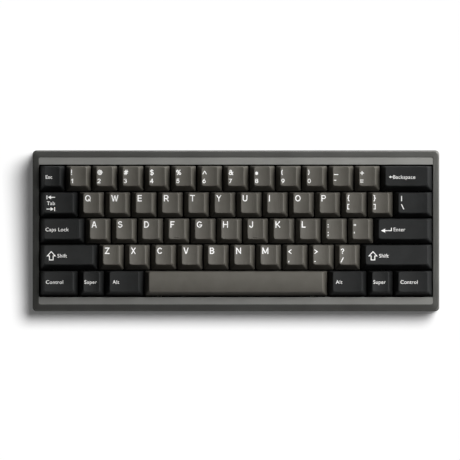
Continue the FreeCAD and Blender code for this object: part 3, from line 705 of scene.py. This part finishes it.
# Each letter or sign: its width as a share of its height, and the centre lines of its strokes
# in a box from 0 to 1
DOT = line((0.5, 0.03), (0.5, 0))
STEM = line((0, 0), (0, 1))
BOWL = STEM + arc(0.5, 0.72, 0.5, 0.28, 90, -90) + line((0, 0.44))
S_CURVE = arc(0.5, 0.765, 0.46, 0.235, 30, 270) + arc(0.5, 0.265, 0.5, 0.265, 90, -150)
LETTERFORMS = {
    "A": (0.78, [line((0, 0), (0.43, 1), (0.57, 1), (1, 0)), line((0.2, 0.3), (0.8, 0.3))]),
    "B": (0.71, [STEM + arc(0.5, 0.76, 0.42, 0.24, 90, -90) + line((0, 0.52)),
                 line((0, 0.52)) + arc(0.52, 0.26, 0.48, 0.26, 90, -90) + line((0, 0))]),
    "C": (0.82, [arc(0.5, 0.5, 0.5, 0.5, 45, 315)]),
    "D": (0.74, [STEM + arc(0.45, 0.5, 0.55, 0.5, 90, -90) + line((0, 0))]),
    "E": (0.67, [line((1, 1), (0, 1), (0, 0), (1, 0)), line((0, 0.52), (0.9, 0.52))]),
    "F": (0.62, [line((1, 1), (0, 1), (0, 0)), line((0, 0.5), (0.85, 0.5))]),
    "G": (0.85, [arc(0.5, 0.5, 0.5, 0.5, 45, 350) + line((0.6, 0.42))]),
    "H": (0.78, [STEM, line((1, 0), (1, 1)), line((0, 0.5), (1, 0.5))]),
    "I": (LETTER_WEIGHT, [STEM]),
    "J": (0.6, [line((1, 1)) + arc(0.5, 0.3, 0.5, 0.3, 0, -165)]),
    "K": (0.75, [STEM, line((0.95, 1), (0.05, 0.36)), line((0.3, 0.55), (1, 0))]),
    "L": (0.6, [line((0, 1), (0, 0), (1, 0))]),
    "M": (0.94, [STEM, line((0.04, 1), (0.46, 0.12), (0.54, 0.12), (0.96, 1)),
                 line((1, 0), (1, 1))]),
    "N": (0.78, [STEM, line((0.04, 0.97), (0.96, 0.03)), line((1, 0), (1, 1))]),
    "O": (0.86, [ring(0.5, 0.5, 0.5, 0.5)]),
    "P": (0.7, [BOWL]),
    "Q": (0.88, [ring(0.5, 0.5, 0.5, 0.5), line((0.62, 0.3), (0.98, 0))]),
    "R": (0.73, [BOWL, line((0.5, 0.44), (1, 0))]),
    "S": (0.7, [S_CURVE]),
    "T": (0.74, [line((0, 1), (1, 1)), line((0.5, 1), (0.5, 0))]),
    "U": (0.74, [line((0, 1)) + arc(0.5, 0.35, 0.5, 0.35, 180, 360) + line((1, 1))]),
    "V": (0.77, [line((0, 1), (0.44, 0), (0.56, 0), (1, 1))]),
    "W": (1.08, [line((0, 1), (0.22, 0), (0.29, 0), (0.47, 0.95), (0.53, 0.95), (0.71, 0),
                      (0.78, 0), (1, 1))]),
    "X": (0.73, [line((0.04, 0), (0.96, 1)), line((0.04, 1), (0.96, 0))]),
    "Y": (0.76, [line((0.02, 1), (0.5, 0.45), (0.98, 1)), line((0.5, 0.45), (0.5, 0))]),
    "Z": (0.74, [line((0, 1), (1, 1)), line((0.95, 0.97), (0.05, 0.03)), line((0, 0), (1, 0))]),
    "0": (0.74, [ring(0.5, 0.5, 0.5, 0.5)]),
    "1": (0.42, [line((1, 0), (1, 1)), line((0, 0.76), (1, 0.95))]),
    "2": (0.74, [arc(0.5, 0.72, 0.48, 0.28, 165, -30) + line((0.04, 0.05)), line((0, 0), (1, 0))]),
    "3": (0.72, [arc(0.47, 0.765, 0.46, 0.235, 155, -90), arc(0.47, 0.265, 0.53, 0.265, 90, -155)]),
    "4": (0.78, [line((0.75, 0), (0.75, 1)), line((0.7, 1), (0.03, 0.27)),
                 line((0, 0.27), (1, 0.27))]),
    "5": (0.73, [line((0.93, 1), (0.14, 1)) + arc(0.48, 0.33, 0.52, 0.33, 142, -150)]),
    "6": (0.74, [ring(0.5, 0.32, 0.5, 0.32), arc(0.95, 0.34, 0.95, 0.68, 180, 105)]),
    "7": (0.72, [line((0, 1), (1, 1)), line((0.95, 0.95), (0.3, 0))]),
    "8": (0.74, [ring(0.5, 0.765, 0.42, 0.235), ring(0.5, 0.265, 0.5, 0.265)]),
    "9": (0.74, [ring(0.5, 0.68, 0.5, 0.32), arc(0.05, 0.66, 0.95, 0.68, 0, -75)]),
    "!": (SIGN_WEIGHT, [line((0, 1), (0, 0.38)), DOT]),
    "@": (0.95, [arc(0.5, 0.5, 0.5, 0.5, 0, 310), ring(0.48, 0.5, 0.21, 0.21),
                 line((0.7, 0.7), (0.72, 0.35), (0.9, 0.3), (1, 0.5))]),
    "#": (0.86, [line((0.2, 0), (0.45, 1)), line((0.55, 0), (0.8, 1)),
                 line((0.03, 0.32), (0.92, 0.32)), line((0.08, 0.68), (0.97, 0.68))]),
    "$": (0.72, [S_CURVE, line((0.5, -0.1), (0.5, 1.1))]),
    "%": (0.95, [ring(0.2, 0.78, 0.2, 0.22), ring(0.8, 0.22, 0.2, 0.22), line((0.2, 0), (0.8, 1))]),
    "^": (0.8, [line((0, 0.15), (0.46, 0.75), (0.54, 0.75), (1, 0.15))]),
    "&": (0.86, [ring(0.42, 0.79, 0.23, 0.21), arc(0.38, 0.28, 0.38, 0.28, 40, 340),
                 line((0.3, 0.6), (1, 0)), line((0.72, 0.2), (0.98, 0.52))]),
    "*": (0.62, [line((0.5, 0), (0.5, 0.6)), line((0.1, 0.1), (0.9, 0.5)),
                 line((0.1, 0.5), (0.9, 0.1)), line((0.1, 0.3), (0.9, 0.3))]),
    "(": (0.36, [arc(1.2, 0.5, 1.2, 0.6, 125, 235)]),
    ")": (0.36, [arc(-0.2, 0.5, 1.2, 0.6, 55, -55)]),
    "_": (0.84, [line((0, 0.02), (1, 0.02))]),
    "-": (0.56, [line((0, 0.7), (1, 0.7))]),
    "+": (0.74, [line((0.5, 0), (0.5, 0.7)), line((0, 0.35), (1, 0.35))]),
    "=": (0.74, [line((0, 0.2), (1, 0.2)), line((0, 0.75), (1, 0.75))]),
    "{": (0.42, [line((1, 1.26), (0.5, 1.16), (0.5, 0.76), (0, 0.63), (0.5, 0.5), (0.5, 0.1),
                      (1, 0))]),
    "}": (0.42, [line((0, 1.26), (0.5, 1.16), (0.5, 0.76), (1, 0.63), (0.5, 0.5), (0.5, 0.1),
                      (0, 0))]),
    "[": (0.4, [line((1, 1.05), (0, 1.05), (0, 0), (1, 0))]),
    "]": (0.4, [line((0, 1.05), (1, 1.05), (1, 0), (0, 0))]),
    "|": (SIGN_WEIGHT, [STEM]),
    "\\": (0.55, [line((0, 1), (0.5, 0.5), (1, 0))]),
    ":": (0.2, [line((0, 0.53), (1, 0.53)), line((0, 0.02), (1, 0.02))]),
    ";": (0.2, [line((0, 0.65), (1, 0.65)), line((0.6, 0.06), (0.3, -0.08))]),
    "\"": (0.42, [line((0, 0.38), (0, 0.6)), line((1, 0.38), (1, 0.6))]),
    "'": (SIGN_WEIGHT, [line((0, 0.5), (0, 0.7))]),
    "<": (0.64, [line((1, 0.8), (0, 0.4), (1, 0))]),
    ">": (0.64, [line((0, 0.8), (1, 0.4), (0, 0))]),
    ",": (0.2, [line((0.6, 0.04), (0.3, -0.1))]),
    ".": (0.2, [line((0, 0.02), (1, 0.02))]),
    "?": (0.68, [arc(0.5, 0.73, 0.45, 0.27, 165, -60) + line((0.5, 0.4), (0.5, 0.32)), DOT]),
    "/": (0.56, [line((0, -0.1), (0.5, 0.375), (1, 0.85))]),
}


def run_past(points, length):
    """A stroke's centre line with its two ends carried on, unless it is a closed ring."""
    ends = [Vector(place) for place in points]
    if (ends[0] - ends[-1]).length < 1e-6:
        return ends
    ends[0] = ends[0] + (ends[0] - ends[1]).normalized() * length
    ends[-1] = ends[-1] + (ends[-1] - ends[-2]).normalized() * length
    return ends


def on_edge(points, level):
    """A centre line stood on edge, as tall as the lettering is deep."""
    bm = bmesh.new()
    corners = [bm.verts.new((x, y, level)) for x, y in points]
    for pair in zip(corners, corners[1:]):
        bm.edges.new(pair)
    bmesh.ops.remove_doubles(bm, verts=bm.verts[:], dist=0.01)
    made = bmesh.ops.extrude_edge_only(bm, edges=bm.edges[:])["geom"]
    lower = [g for g in made if isinstance(g, bmesh.types.BMVert)]
    bmesh.ops.translate(bm, vec=(0, 0, -LEGEND_DEPTH), verts=lower)
    bmesh.ops.recalc_face_normals(bm, faces=bm.faces[:])
    return bm


def stroked(lines, width):
    """Slabs of one width along centre lines, each laid a trace higher than the last."""
    strips = [on_edge(run_past(points, width / 2), i * STROKE_STEP)
              for i, points in enumerate(lines)]
    return with_modifier(joined(strips), "SOLIDIFY", {"thickness": width, "offset": 0.0,
                                                      "use_even_offset": True})


def letterform(letter, height, weight, left, baseline):
    """One letter or sign with its left edge and its foot at a place."""
    share, lines = LETTERFORMS[letter]
    width = weight * height
    across, up = share * height - width, height - width
    placed = [[(left + width / 2 + x * across, baseline + width / 2 + y * up) for x, y in points]
              for points in lines]
    return stroked(placed, width)


def slab(outline):
    """A flat outline given the lettering's depth."""
    bm = bmesh.new()
    bm.faces.new([bm.verts.new((x, y, 0)) for x, y in outline])
    made = bmesh.ops.extrude_face_region(bm, geom=bm.faces[:], use_keep_orig=True)["geom"]
    lower = [g for g in made if isinstance(g, bmesh.types.BMVert)]
    bmesh.ops.translate(bm, vec=(0, 0, -LEGEND_DEPTH), verts=lower)
    return bm


def word(letters, left, baseline):
    """A word in the small lettering, with its ink starting at a place."""
    curve = bpy.data.curves.new("word", "FONT")
    curve.body = letters
    curve.offset = WORD_WEIGHT
    curve.space_character = WORD_SPACING
    curve.extrude = LEGEND_DEPTH / 2
    bm = mesh_of(curve)
    scale = WORD_HEIGHT / WORD_CAPITAL
    bmesh.ops.scale(bm, vec=(scale, scale, 1), verts=bm.verts[:])
    ink = min(v.co.x for v in bm.verts)
    shift(bm, left - ink, baseline, -LEGEND_DEPTH / 2)
    bmesh.ops.remove_doubles(bm, verts=bm.verts[:], dist=0.002)
    return bm


def arrow_head(tip, back, y, half):
    """A solid triangle that points along X."""
    return slab([(tip, y), (back, y + half), (back, y - half)])


def tab_marks(left, middle):
    """Arrows to a stop, one to the left over the word and one to the right under it."""
    right = left + TAB_ARROW_LENGTH
    parts = []
    for y, start, end, way in ((middle + TAB_ARROW_UP, right, left, -1),
                               (middle - TAB_ARROW_DOWN, left, right, 1)):
        back = end - way * TAB_HEAD_BACK
        stop = line((end, y - TAB_STOP_HALF), (end, y + TAB_STOP_HALF))
        parts.append(arrow_head(end - way * TAB_HEAD_TIP, back, y, TAB_HEAD_HALF))
        parts.append(stroked([line((start, y), (back, y)), stop], MARK_WEIGHT))
    return parts


def backspace_mark(left, middle):
    """A short arrow to the left."""
    start, end = BACKSPACE_SHAFT
    shaft = stroked([line((left + start, middle), (left + end, middle))], MARK_WEIGHT)
    return [arrow_head(left, left + BACKSPACE_HEAD, middle, BACKSPACE_HEAD_HALF), shaft]


def enter_mark(left, middle):
    """An arrow to the left with its shaft turned up at the end."""
    start, end = ENTER_SHAFT
    low = middle - ENTER_LOW
    shaft = line((left + start, low), (left + end, low), (left + end, middle + ENTER_HIGH))
    return [arrow_head(left, left + ENTER_HEAD, low, ENTER_HEAD_HALF),
            stroked([shaft], MARK_WEIGHT)]


def shift_mark(left, middle):
    """An outlined arrow that points to the back."""
    x = left + SHIFT_HALF + MARK_WEIGHT / 2
    front, barb, tip = middle - SHIFT_TALL, middle - SHIFT_BARB, middle + SHIFT_TALL
    outline = line((x, tip), (x - SHIFT_HALF, barb), (x - SHIFT_STEM_HALF, barb),
                   (x - SHIFT_STEM_HALF, front), (x + SHIFT_STEM_HALF, front),
                   (x + SHIFT_STEM_HALF, barb), (x + SHIFT_HALF, barb), (x, tip))
    return [stroked([outline], MARK_WEIGHT)]


MARKS = {"key_tab": tab_marks, "key_backspace": backspace_mark, "key_enter": enter_mark,
         "key_left_shift": shift_mark, "key_right_shift": shift_mark}
MARK_LEFT = {"key_tab": 2.2, "key_backspace": 2.6, "key_enter": 1.6,
             "key_left_shift": 2.2, "key_right_shift": 2.2}


def legend_parts(node, legend, row, shape):
    """The lettering of one cap, laid flat."""
    edge = -shape.top.half_x
    if len(legend) == 1:
        left = edge + LETTER_LEFT
        return [letterform(legend, LETTER_HEIGHT, LETTER_WEIGHT, left, LETTER_BASELINE)]
    if len(legend) == 2:
        left = edge + WORD_LEFT.get(legend, NUMBER_ROW_LEFT if row == 0 else PAIR_LEFT)
        height, weight = (NUMBER_HEIGHT, NUMBER_WEIGHT) if row == 0 else (SIGN_HEIGHT, SIGN_WEIGHT)
        return [letterform(legend[0], SIGN_HEIGHT, SIGN_WEIGHT, left, PAIR_UPPER),
                letterform(legend[1], height, weight, left, PAIR_LOWER)]
    parts = [word(legend, edge + WORD_LEFT[legend], WORD_BASELINE)]
    if node in MARKS:
        parts += MARKS[node](edge + MARK_LEFT[node], WORD_BASELINE + WORD_HEIGHT / 2)
    return parts


def draped(parts, shape):
    """Lettering laid on a cap's top, so that it follows the hollow."""
    bm = joined(parts)
    cut_across(bm, bm.faces[:] + bm.edges[:] + bm.verts[:], shape.cuts(), shape.crowned)
    for v in bm.verts:
        v.co.z += shape.top_level(v.co.x, v.co.y) + LEGEND_LIFT
    bmesh.ops.recalc_face_normals(bm, faces=bm.faces[:])
    return bm


# Sliders under the caps

def islands(bm):
    """The separate closed shapes in a mesh, each as a set of points."""
    left = set(bm.verts)
    while left:
        found, front = set(), [next(iter(left))]
        while front:
            v = front.pop()
            if v not in found:
                found.add(v)
                front += [e.other_vert(v) for e in v.link_edges]
        left -= found
        yield found


def sliders(node):
    """The stems and stabiliser inserts of a key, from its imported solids, with softened edges."""
    bm = bmesh.new()
    bm.from_mesh(frame["nodes"][node].data)
    bm.transform(DECK.inverted())
    bmesh.ops.remove_doubles(bm, verts=bm.verts[:], dist=MERGE_DISTANCE)
    for shape in list(islands(bm)):
        if max(v.co.z for v in shape) > SLIDER_LIMIT:
            bmesh.ops.delete(bm, geom=list(shape), context="VERTS")
    bmesh.ops.dissolve_limit(bm, angle_limit=math.radians(2), verts=bm.verts[:], edges=bm.edges[:])
    round_over(bm, bm.edges[:], SLIDER_EDGE, 2)
    return bm


# Case

def case_outline(inset, level):
    """The case's outline drawn in, with corners that tighten towards the pocket's."""
    corner = CASE_CORNER + (POCKET_CORNER - CASE_CORNER) * inset / (RIM_INSET + RIM_LAND)
    return Outline(CASE_WIDTH / 2 - inset, CASE_DEPTH / 2 - inset, 0.0, corner, level)


def rim_outlines():
    """The rounded outer edge of the rim and the slope up to its land."""
    turn = math.radians(90) - RIM_SLOPE
    round_inset = RIM_ROUND * (1 - math.cos(turn))
    base = RIM_HEIGHT - (RIM_INSET - round_inset) * math.tan(RIM_SLOPE) - RIM_ROUND * math.sin(turn)
    made = []
    for step in range(RIM_ROUND_STEPS + 1):
        a = turn * step / RIM_ROUND_STEPS
        made.append(case_outline(RIM_ROUND * (1 - math.cos(a)), base + RIM_ROUND * math.sin(a)))
    return made + [case_outline(RIM_INSET, RIM_HEIGHT)]


def upper_case():
    """The upper shell: a sloping rim round a pocket with a ledge in front and behind."""
    def inside(side_ledge, depth, corner, level):
        return Outline(OPENING_WIDTH / 2 - side_ledge, depth / 2, 0.0, corner, level)

    chain = [case_outline(SEAM_GROOVE, SEAM), case_outline(0, SEAM + SEAM_GROOVE)]
    chain += rim_outlines()
    pocket = len(chain)
    chain += [inside(0, POCKET_DEPTH, POCKET_CORNER, RIM_HEIGHT),
              inside(0, POCKET_DEPTH, POCKET_CORNER, LEDGE_HEIGHT),
              inside(SIDE_LEDGE, OPENING_DEPTH, OPENING_CORNER, LEDGE_HEIGHT),
              inside(SIDE_LEDGE, OPENING_DEPTH, OPENING_CORNER, LEDGE_UNDERSIDE),
              inside(0, CAVITY_DEPTH, OPENING_CORNER, LEDGE_UNDERSIDE),
              inside(0, CAVITY_DEPTH, OPENING_CORNER, SEAM), chain[0]]
    bm, rings = lofted(chain, RIM_CORNER_STEPS)
    ends = [f for f in bm.faces if len(f.verts) > 4]
    bmesh.ops.delete(bm, geom=ends, context="FACES_ONLY")
    bmesh.ops.remove_doubles(bm, verts=bm.verts[:], dist=MERGE_DISTANCE)
    bmesh.ops.recalc_face_normals(bm, faces=bm.faces[:])
    edges = ring_edges(rings[pocket]) + ring_edges(rings[pocket + 2])
    round_over(bm, edges, RIM_EDGE, EDGE_STEPS)
    width, depth = TAB_POCKET
    low, high = SEAM - CUT_PAST, SCREW_TIP + CUT_PAST
    cutters = [block(width, depth, low, LEDGE_UNDERSIDE, x) for x in (-TAB_X, TAB_X)]
    cutters += [rod(SCREW_RADIUS, low, high, x, y) for x, y in SCREW_PLACES]
    bm = carved(bm, cutters)
    # The flat tops of the front and back ledges take the lighter copy of the metal, a painted
    # reflection
    for face in bm.faces:
        middle = face.calc_center_median()
        flat = face.normal.z > 0.9 and abs(middle.z - LEDGE_HEIGHT) < LEDGE_TOLERANCE
        face.material_index = int(flat and abs(middle.y) > OPENING_DEPTH / 4)
    return bm


def bottom_level(lift):
    """The level plane that the case stands over, seen from the tilted deck."""
    def level(y):
        height = CASE_LOWEST - DECK_ORIGIN.z / MM - y * math.sin(TILT)
        return height / math.cos(TILT) + lift
    return level


def lying_loft(outlines, x, level):
    """A stack of outlines that runs to the back instead of up."""
    bm = lofted(outlines, CORNER_STEPS)[0]
    bmesh.ops.rotate(bm, cent=(0, 0, 0), matrix=Matrix.Rotation(math.radians(-90), 3, "X"),
                     verts=bm.verts[:])
    shift(bm, x, 0, level)
    bmesh.ops.recalc_face_normals(bm, faces=bm.faces[:])
    return bm


def foot_pad(x, y, grow, low, high, edge=0.0):
    """A pad on the case's bottom plane, between two heights over it."""
    base = Outline(FOOT_HALF[0] + grow, FOOT_HALF[1] + grow, 0.0, FOOT_CORNER, low)
    bm, rings = lofted([base, base._replace(level=high)], CORNER_STEPS)
    if edge:
        round_over(bm, ring_edges(rings[0]), edge, EDGE_STEPS)
    bmesh.ops.rotate(bm, cent=(0, 0, 0), matrix=Matrix.Rotation(-TILT, 3, "X"), verts=bm.verts[:])
    shift(bm, x, y, bottom_level(0)(y))
    return bm


def lower_case():
    """The lower tray, thicker at the back, with the port, the screw holes and the foot recesses."""
    chain = []
    for step in range(BOTTOM_ROUND_STEPS + 1):
        a = math.radians(90) * step / BOTTOM_ROUND_STEPS
        chain.append(case_outline(BOTTOM_ROUND * (1 - math.sin(a)),
                                  bottom_level(BOTTOM_ROUND * (1 - math.cos(a)))))
    chain += [case_outline(0, SEAM - SEAM_GROOVE), case_outline(SEAM_GROOVE, SEAM)]
    cavity = Outline(OPENING_WIDTH / 2, CAVITY_DEPTH / 2, 0.0, OPENING_CORNER, SEAM)
    chain += [cavity, cavity._replace(level=CAVITY_FLOOR)]
    bm = lofted(chain, CORNER_STEPS)[0]
    port = Outline(PORT_HALF[0], PORT_HALF[1], 0.0, PORT_CORNER, USB_MOUTH)
    cutters = [lying_loft([port, port._replace(level=CASE_DEPTH)], USB_X, USB_LEVEL)]
    deepest = bottom_level(0)(CASE_DEPTH / 2) - 2 * CUT_PAST
    for x, y in SCREW_PLACES:
        cutters.append(rod(SCREW_RADIUS + SCREW_HOLE_ROOM, deepest, SEAM + CUT_PAST, x, y))
        cutters.append(rod(SCREW_HEAD_RADIUS + SCREW_HOLE_ROOM, deepest, SCREW_SEAT, x, y))
    for x, y in FOOT_PLACES:
        cutters.append(foot_pad(x, y, FOOT_RECESS_ROOM, -CUT_PAST, FOOT_RECESS))
    return carved(bm, cutters)


def cap_screw(x, y):
    """A cap screw with a hexagon socket, head down."""
    low = SCREW_SEAT - SCREW_HEAD_HEIGHT
    head = rod(SCREW_HEAD_RADIUS, low, SCREW_SEAT, x, y, edge=SCREW_EDGE)
    socket = rod(SCREW_KEY, low - CUT_PAST, low + SCREW_KEY_DEPTH, x, y, sides=6)
    shank = rod(SCREW_RADIUS, SCREW_SEAT - SHANK_INTO_HEAD, SCREW_TIP, x, y, edge=SCREW_EDGE)
    return joined([carved(head, [socket]), shank])


def usb_socket():
    """A folded steel shell with a tongue in the middle."""
    def shell(inset, y):
        return Outline(USB_HALF[0] - inset, USB_HALF[1] - inset, 0.0, USB_CORNER - inset, y)

    back = USB_MOUTH - USB_LENGTH
    skin = lying_loft([shell(0, back), shell(0, USB_MOUTH), shell(USB_WALL, USB_MOUTH),
                       shell(USB_WALL, back + USB_BACK_WALL)], USB_X, USB_LEVEL)
    width, length = USB_TONGUE
    middle = back + USB_TONGUE_START + length / 2
    tongue = block(width, length, USB_LEVEL - USB_TONGUE_HALF, USB_LEVEL + USB_TONGUE_HALF,
                   USB_X, middle, USB_TONGUE_EDGE)
    return joined([skin, tongue])


def wire_points(reach):
    """The middle line of a wire: up one arm, round two bends and up the other arm."""
    rise = Vector((0, math.cos(WIRE_REST_ANGLE), math.sin(WIRE_REST_ANGLE)))
    across = Vector((1, 0, 0))
    left = Vector((-reach, WIRE_PIVOT_Y, WIRE_PIVOT_Z))
    right = Vector((reach, WIRE_PIVOT_Y, WIRE_PIVOT_Z))
    points = [left + rise * WIRE_ARM]
    for corner, start, end in ((left, rise, across), (right, -across, rise)):
        for step in range(WIRE_BEND_STEPS + 1):
            t = step / WIRE_BEND_STEPS
            points.append(corner + start * WIRE_BEND * (1 - t) ** 2 + end * WIRE_BEND * t ** 2)
    points.append(right + rise * WIRE_ARM)
    return points


def stabiliser_wire(reach, x, y):
    """A bent round wire: a bar across and an arm at each end."""
    curve = bpy.data.curves.new("wire", "CURVE")
    curve.dimensions = "3D"
    curve.bevel_depth = WIRE_RADIUS
    curve.bevel_resolution = 4
    curve.use_fill_caps = True
    points = wire_points(reach)
    spline = curve.splines.new("POLY")
    spline.points.add(len(points) - 1)
    for point, co in zip(spline.points, points):
        point.co = (*co, 1)
    bm = mesh_of(curve)
    bmesh.ops.remove_doubles(bm, verts=bm.verts[:], dist=MERGE_DISTANCE)
    shift(bm, x, y)
    return bm


# Putting the pieces together

def make_keys():
    """Draws the caps, the stems and the lettering, and gives each key's place on the plate."""
    caps, legends, centres = {}, {}, {}
    for row, keys in enumerate(LAYOUT):
        left = -FIELD_WIDTH / 2
        y = FIELD_DEPTH / 2 - (row + 0.5) * KEY_PITCH
        for node, units, legend in keys:
            x = left + units * KEY_PITCH / 2
            left += units * KEY_PITCH
            centres[node] = (x, y)
            shape = CapShape(units, row, node == "key_space")
            reach = WIRE_REACH.get(node.removeprefix("key_"))
            posts = [0.0] if reach is None else [-reach, 0.0, reach]
            cap = keycap(shape, posts, legend in ("F", "J"))
            shift(cap, x, y)
            caps.setdefault(node, []).append(cap)
            if legend:
                lettering = draped(legend_parts(node, legend, row, shape), shape)
                shift(lettering, x, y)
                legends.setdefault(node, []).append(lettering)
    for node, parts in caps.items():
        name = node.split("_", 1)[1]
        dark = node in CHARCOAL_KEYS
        finish, slot = (CAP_CHARCOAL, "cap_charcoal") if dark else (CAP_GREY, "cap_grey")
        piece("cap_" + name, joined(parts), node, [finish], slot, [node], CAP_SMOOTH_ANGLE)
        piece("stem_" + name, sliders(node), node, [STEM_PLASTIC], slot)
        if node in legends:
            piece("legend_" + name, joined(legends[node]), node, [LEGEND_WHITE], slot)
    return centres


def make_case():
    """Draws the two case shells and what is fixed to them."""
    # The upper shell's second finish is the ledges' painted reflection
    piece("case_upper", upper_case(), "case", [CASE_METAL, LEDGE_PAINTED_REFLECTION], "case_metal", ["top_case"],
          RIM_SMOOTH_ANGLE)
    piece("case_lower", lower_case(), "case", [CASE_METAL], "case_metal", ["bottom_case"])
    feet = joined([foot_pad(x, y, 0, FOOT_RECESS - FOOT_HEIGHT, FOOT_RECESS, FOOT_EDGE)
                   for x, y in FOOT_PLACES])
    piece("feet", feet, "case", [RUBBER], "foot_rubber", ["rubber_feet"])
    screws = joined([cap_screw(x, y) for x, y in SCREW_PLACES])
    piece("screws", screws, "case", [SCREW_STEEL], "screw_steel", ["case_screws"])
    piece("lead_socket", usb_socket(), "case", [SOCKET_STEEL], "socket_steel", ["usb_socket"])


def make_wires(centres):
    for name, reach in WIRE_REACH.items():
        x, y = centres["key_" + name]
        body = "wire_" + name
        wire = stabiliser_wire(reach, x, y)
        piece("spring_" + body, wire, body, [WIRE_STEEL], "wire_steel", [body])


def dress_inner_nodes():
    """Gives the solids that are kept as they are their finishes."""
    finishes = {"switch_plate": PLATE_METAL, "circuit_board": BOARD, "controller_chip": CHIP,
                "gasket_strips": FOAM, "switch_bases": NYLON, "switch_tops": SWITCH_COVER,
                "stabiliser_housings": NYLON}
    for name, material in finishes.items():
        node = frame["nodes"][name]
        node.data.materials.clear()
        node.data.materials.append(material)


# Studio, in metres, radians and watts
FLOOR_HAZE = 0.1
FLOOR_REACH = 4.0
ROOM_LIGHT = 0.03
SHADOW_SIDE = (0.4, 0.27, 1.0)
SHADOW_BLUR = 0.55
FLOOR_LIGHT = 3.4
LAMP_DISTANCE = 1.6
KEY_LAMP_SIDE = (1.15, 0.72, 1.0)
KEY_LAMP_SIZE = 1.8
KEY_LAMP_POWER = 53
TOP_LAMP_SIDE = (0.45, 0.5, 1.0)
TOP_LAMP_SIZE = 0.5
TOP_LAMP_POWER = 1.5
VIEW_FAR = 20


def set_lamp(lamp, direction):
    """Stands a lamp to one side, where it looks at the middle of the scene."""
    obj = bpy.data.objects.new(lamp.name, lamp)
    towards = Vector(direction).normalized()
    obj.location = towards * LAMP_DISTANCE
    obj.rotation_euler = towards.to_track_quat("Z", "Y").to_euler()
    bpy.context.scene.collection.objects.link(obj)
    return obj


def area_lamp(name, direction, size, power):
    lamp = bpy.data.lights.new(name, "AREA")
    lamp.shape = "SQUARE"
    lamp.size = size
    lamp.energy = power
    return set_lamp(lamp, direction)


def shadow_lamp():
    """A broad high light that whitens the floor and leaves the object's shadow on it."""
    lamp = bpy.data.lights.new("floor_lamp", "SUN")
    lamp.angle = SHADOW_BLUR
    lamp.energy = FLOOR_LIGHT
    return set_lamp(lamp, SHADOW_SIDE)


def light_floor(lamp, floor, state):
    """Lets a lamp light the floor alone, or everything but the floor."""
    lit = bpy.data.collections.new(lamp.name + "_receivers")
    lit.objects.link(floor)
    lit.collection_objects[0].light_linking.link_state = state
    lamp.light_linking.receiver_collection = lit


def make_floor():
    """Matt white paper, with a haze over its shadows that only the camera and gloss see."""
    material, tree = new_material("matt_paper_floor")[:2]
    rays = add(tree, "ShaderNodeLightPath").outputs
    gloss = add(tree, "ShaderNodeMath", {"operation": "MAXIMUM"},
                {0: rays["Is Glossy Ray"], 1: rays["Is Transmission Ray"]})
    seen = add(tree, "ShaderNodeMath", {"operation": "MAXIMUM"},
               {0: rays["Is Camera Ray"], 1: gloss.outputs[0]})
    strength = add(tree, "ShaderNodeMath", {"operation": "MULTIPLY", 1: FLOOR_HAZE},
                   {0: seen.outputs[0]})
    paper = add(tree, "ShaderNodeBsdfDiffuse", {"Color": linear("#f4f4f4")})
    haze = add(tree, "ShaderNodeEmission", links={"Strength": strength.outputs[0]})
    surface = add(tree, "ShaderNodeAddShader", links={0: paper.outputs[0], 1: haze.outputs[0]})
    add(tree, "ShaderNodeOutputMaterial", links={"Surface": surface.outputs[0]})
    bm = bmesh.new()
    bmesh.ops.create_grid(bm, x_segments=1, y_segments=1, size=FLOOR_REACH)
    mesh = bpy.data.meshes.new("floor")
    bm.to_mesh(mesh)
    bm.free()
    mesh.materials.append(material)
    floor = bpy.data.objects.new("floor", mesh)
    bpy.context.scene.collection.objects.link(floor)
    return floor


def make_world():
    world = bpy.data.worlds.new("studio")
    world.use_nodes = True
    tree = world.node_tree
    tree.nodes.clear()
    dim = add(tree, "ShaderNodeBackground", {"Color": linear("#ffffff"), "Strength": ROOM_LIGHT})
    add(tree, "ShaderNodeOutputWorld", links={"Surface": dim.outputs[0]})
    bpy.context.scene.world = world


# The photograph looks square on to the deck from far away; this is what it takes in, in millimetres
VIEW_WIDTH = 333.9
VIEW_CENTRE = (-4.28, 0.62)
VIEW_LEVEL = 8.0
LENS = 900.0
SENSOR = 36.0


def make_camera():
    camera = bpy.data.cameras.new("camera")
    camera.lens = LENS
    camera.sensor_width = SENSOR
    camera.clip_end = VIEW_FAR
    obj = bpy.data.objects.new("camera", camera)
    target = DECK @ Vector((VIEW_CENTRE[0], VIEW_CENTRE[1], VIEW_LEVEL))
    obj.location = target + DECK_UP * VIEW_WIDTH * MM * LENS / SENSOR
    obj.rotation_euler = (TILT, 0, 0)
    bpy.context.scene.collection.objects.link(obj)
    bpy.context.scene.camera = obj


def make_studio():
    floor = make_floor()
    light_floor(shadow_lamp(), floor, "INCLUDE")
    key_lamp = area_lamp("key_lamp", KEY_LAMP_SIDE, KEY_LAMP_SIZE, KEY_LAMP_POWER)
    light_floor(key_lamp, floor, "EXCLUDE")
    top_lamp = area_lamp("top_lamp", TOP_LAMP_SIDE, TOP_LAMP_SIZE, TOP_LAMP_POWER)
    light_floor(top_lamp, floor, "EXCLUDE")
    make_world()
    make_camera()
    bpy.context.scene.view_settings.view_transform = "Standard"


centres = make_keys()
make_case()
make_wires(centres)
dress_inner_nodes()
make_studio()
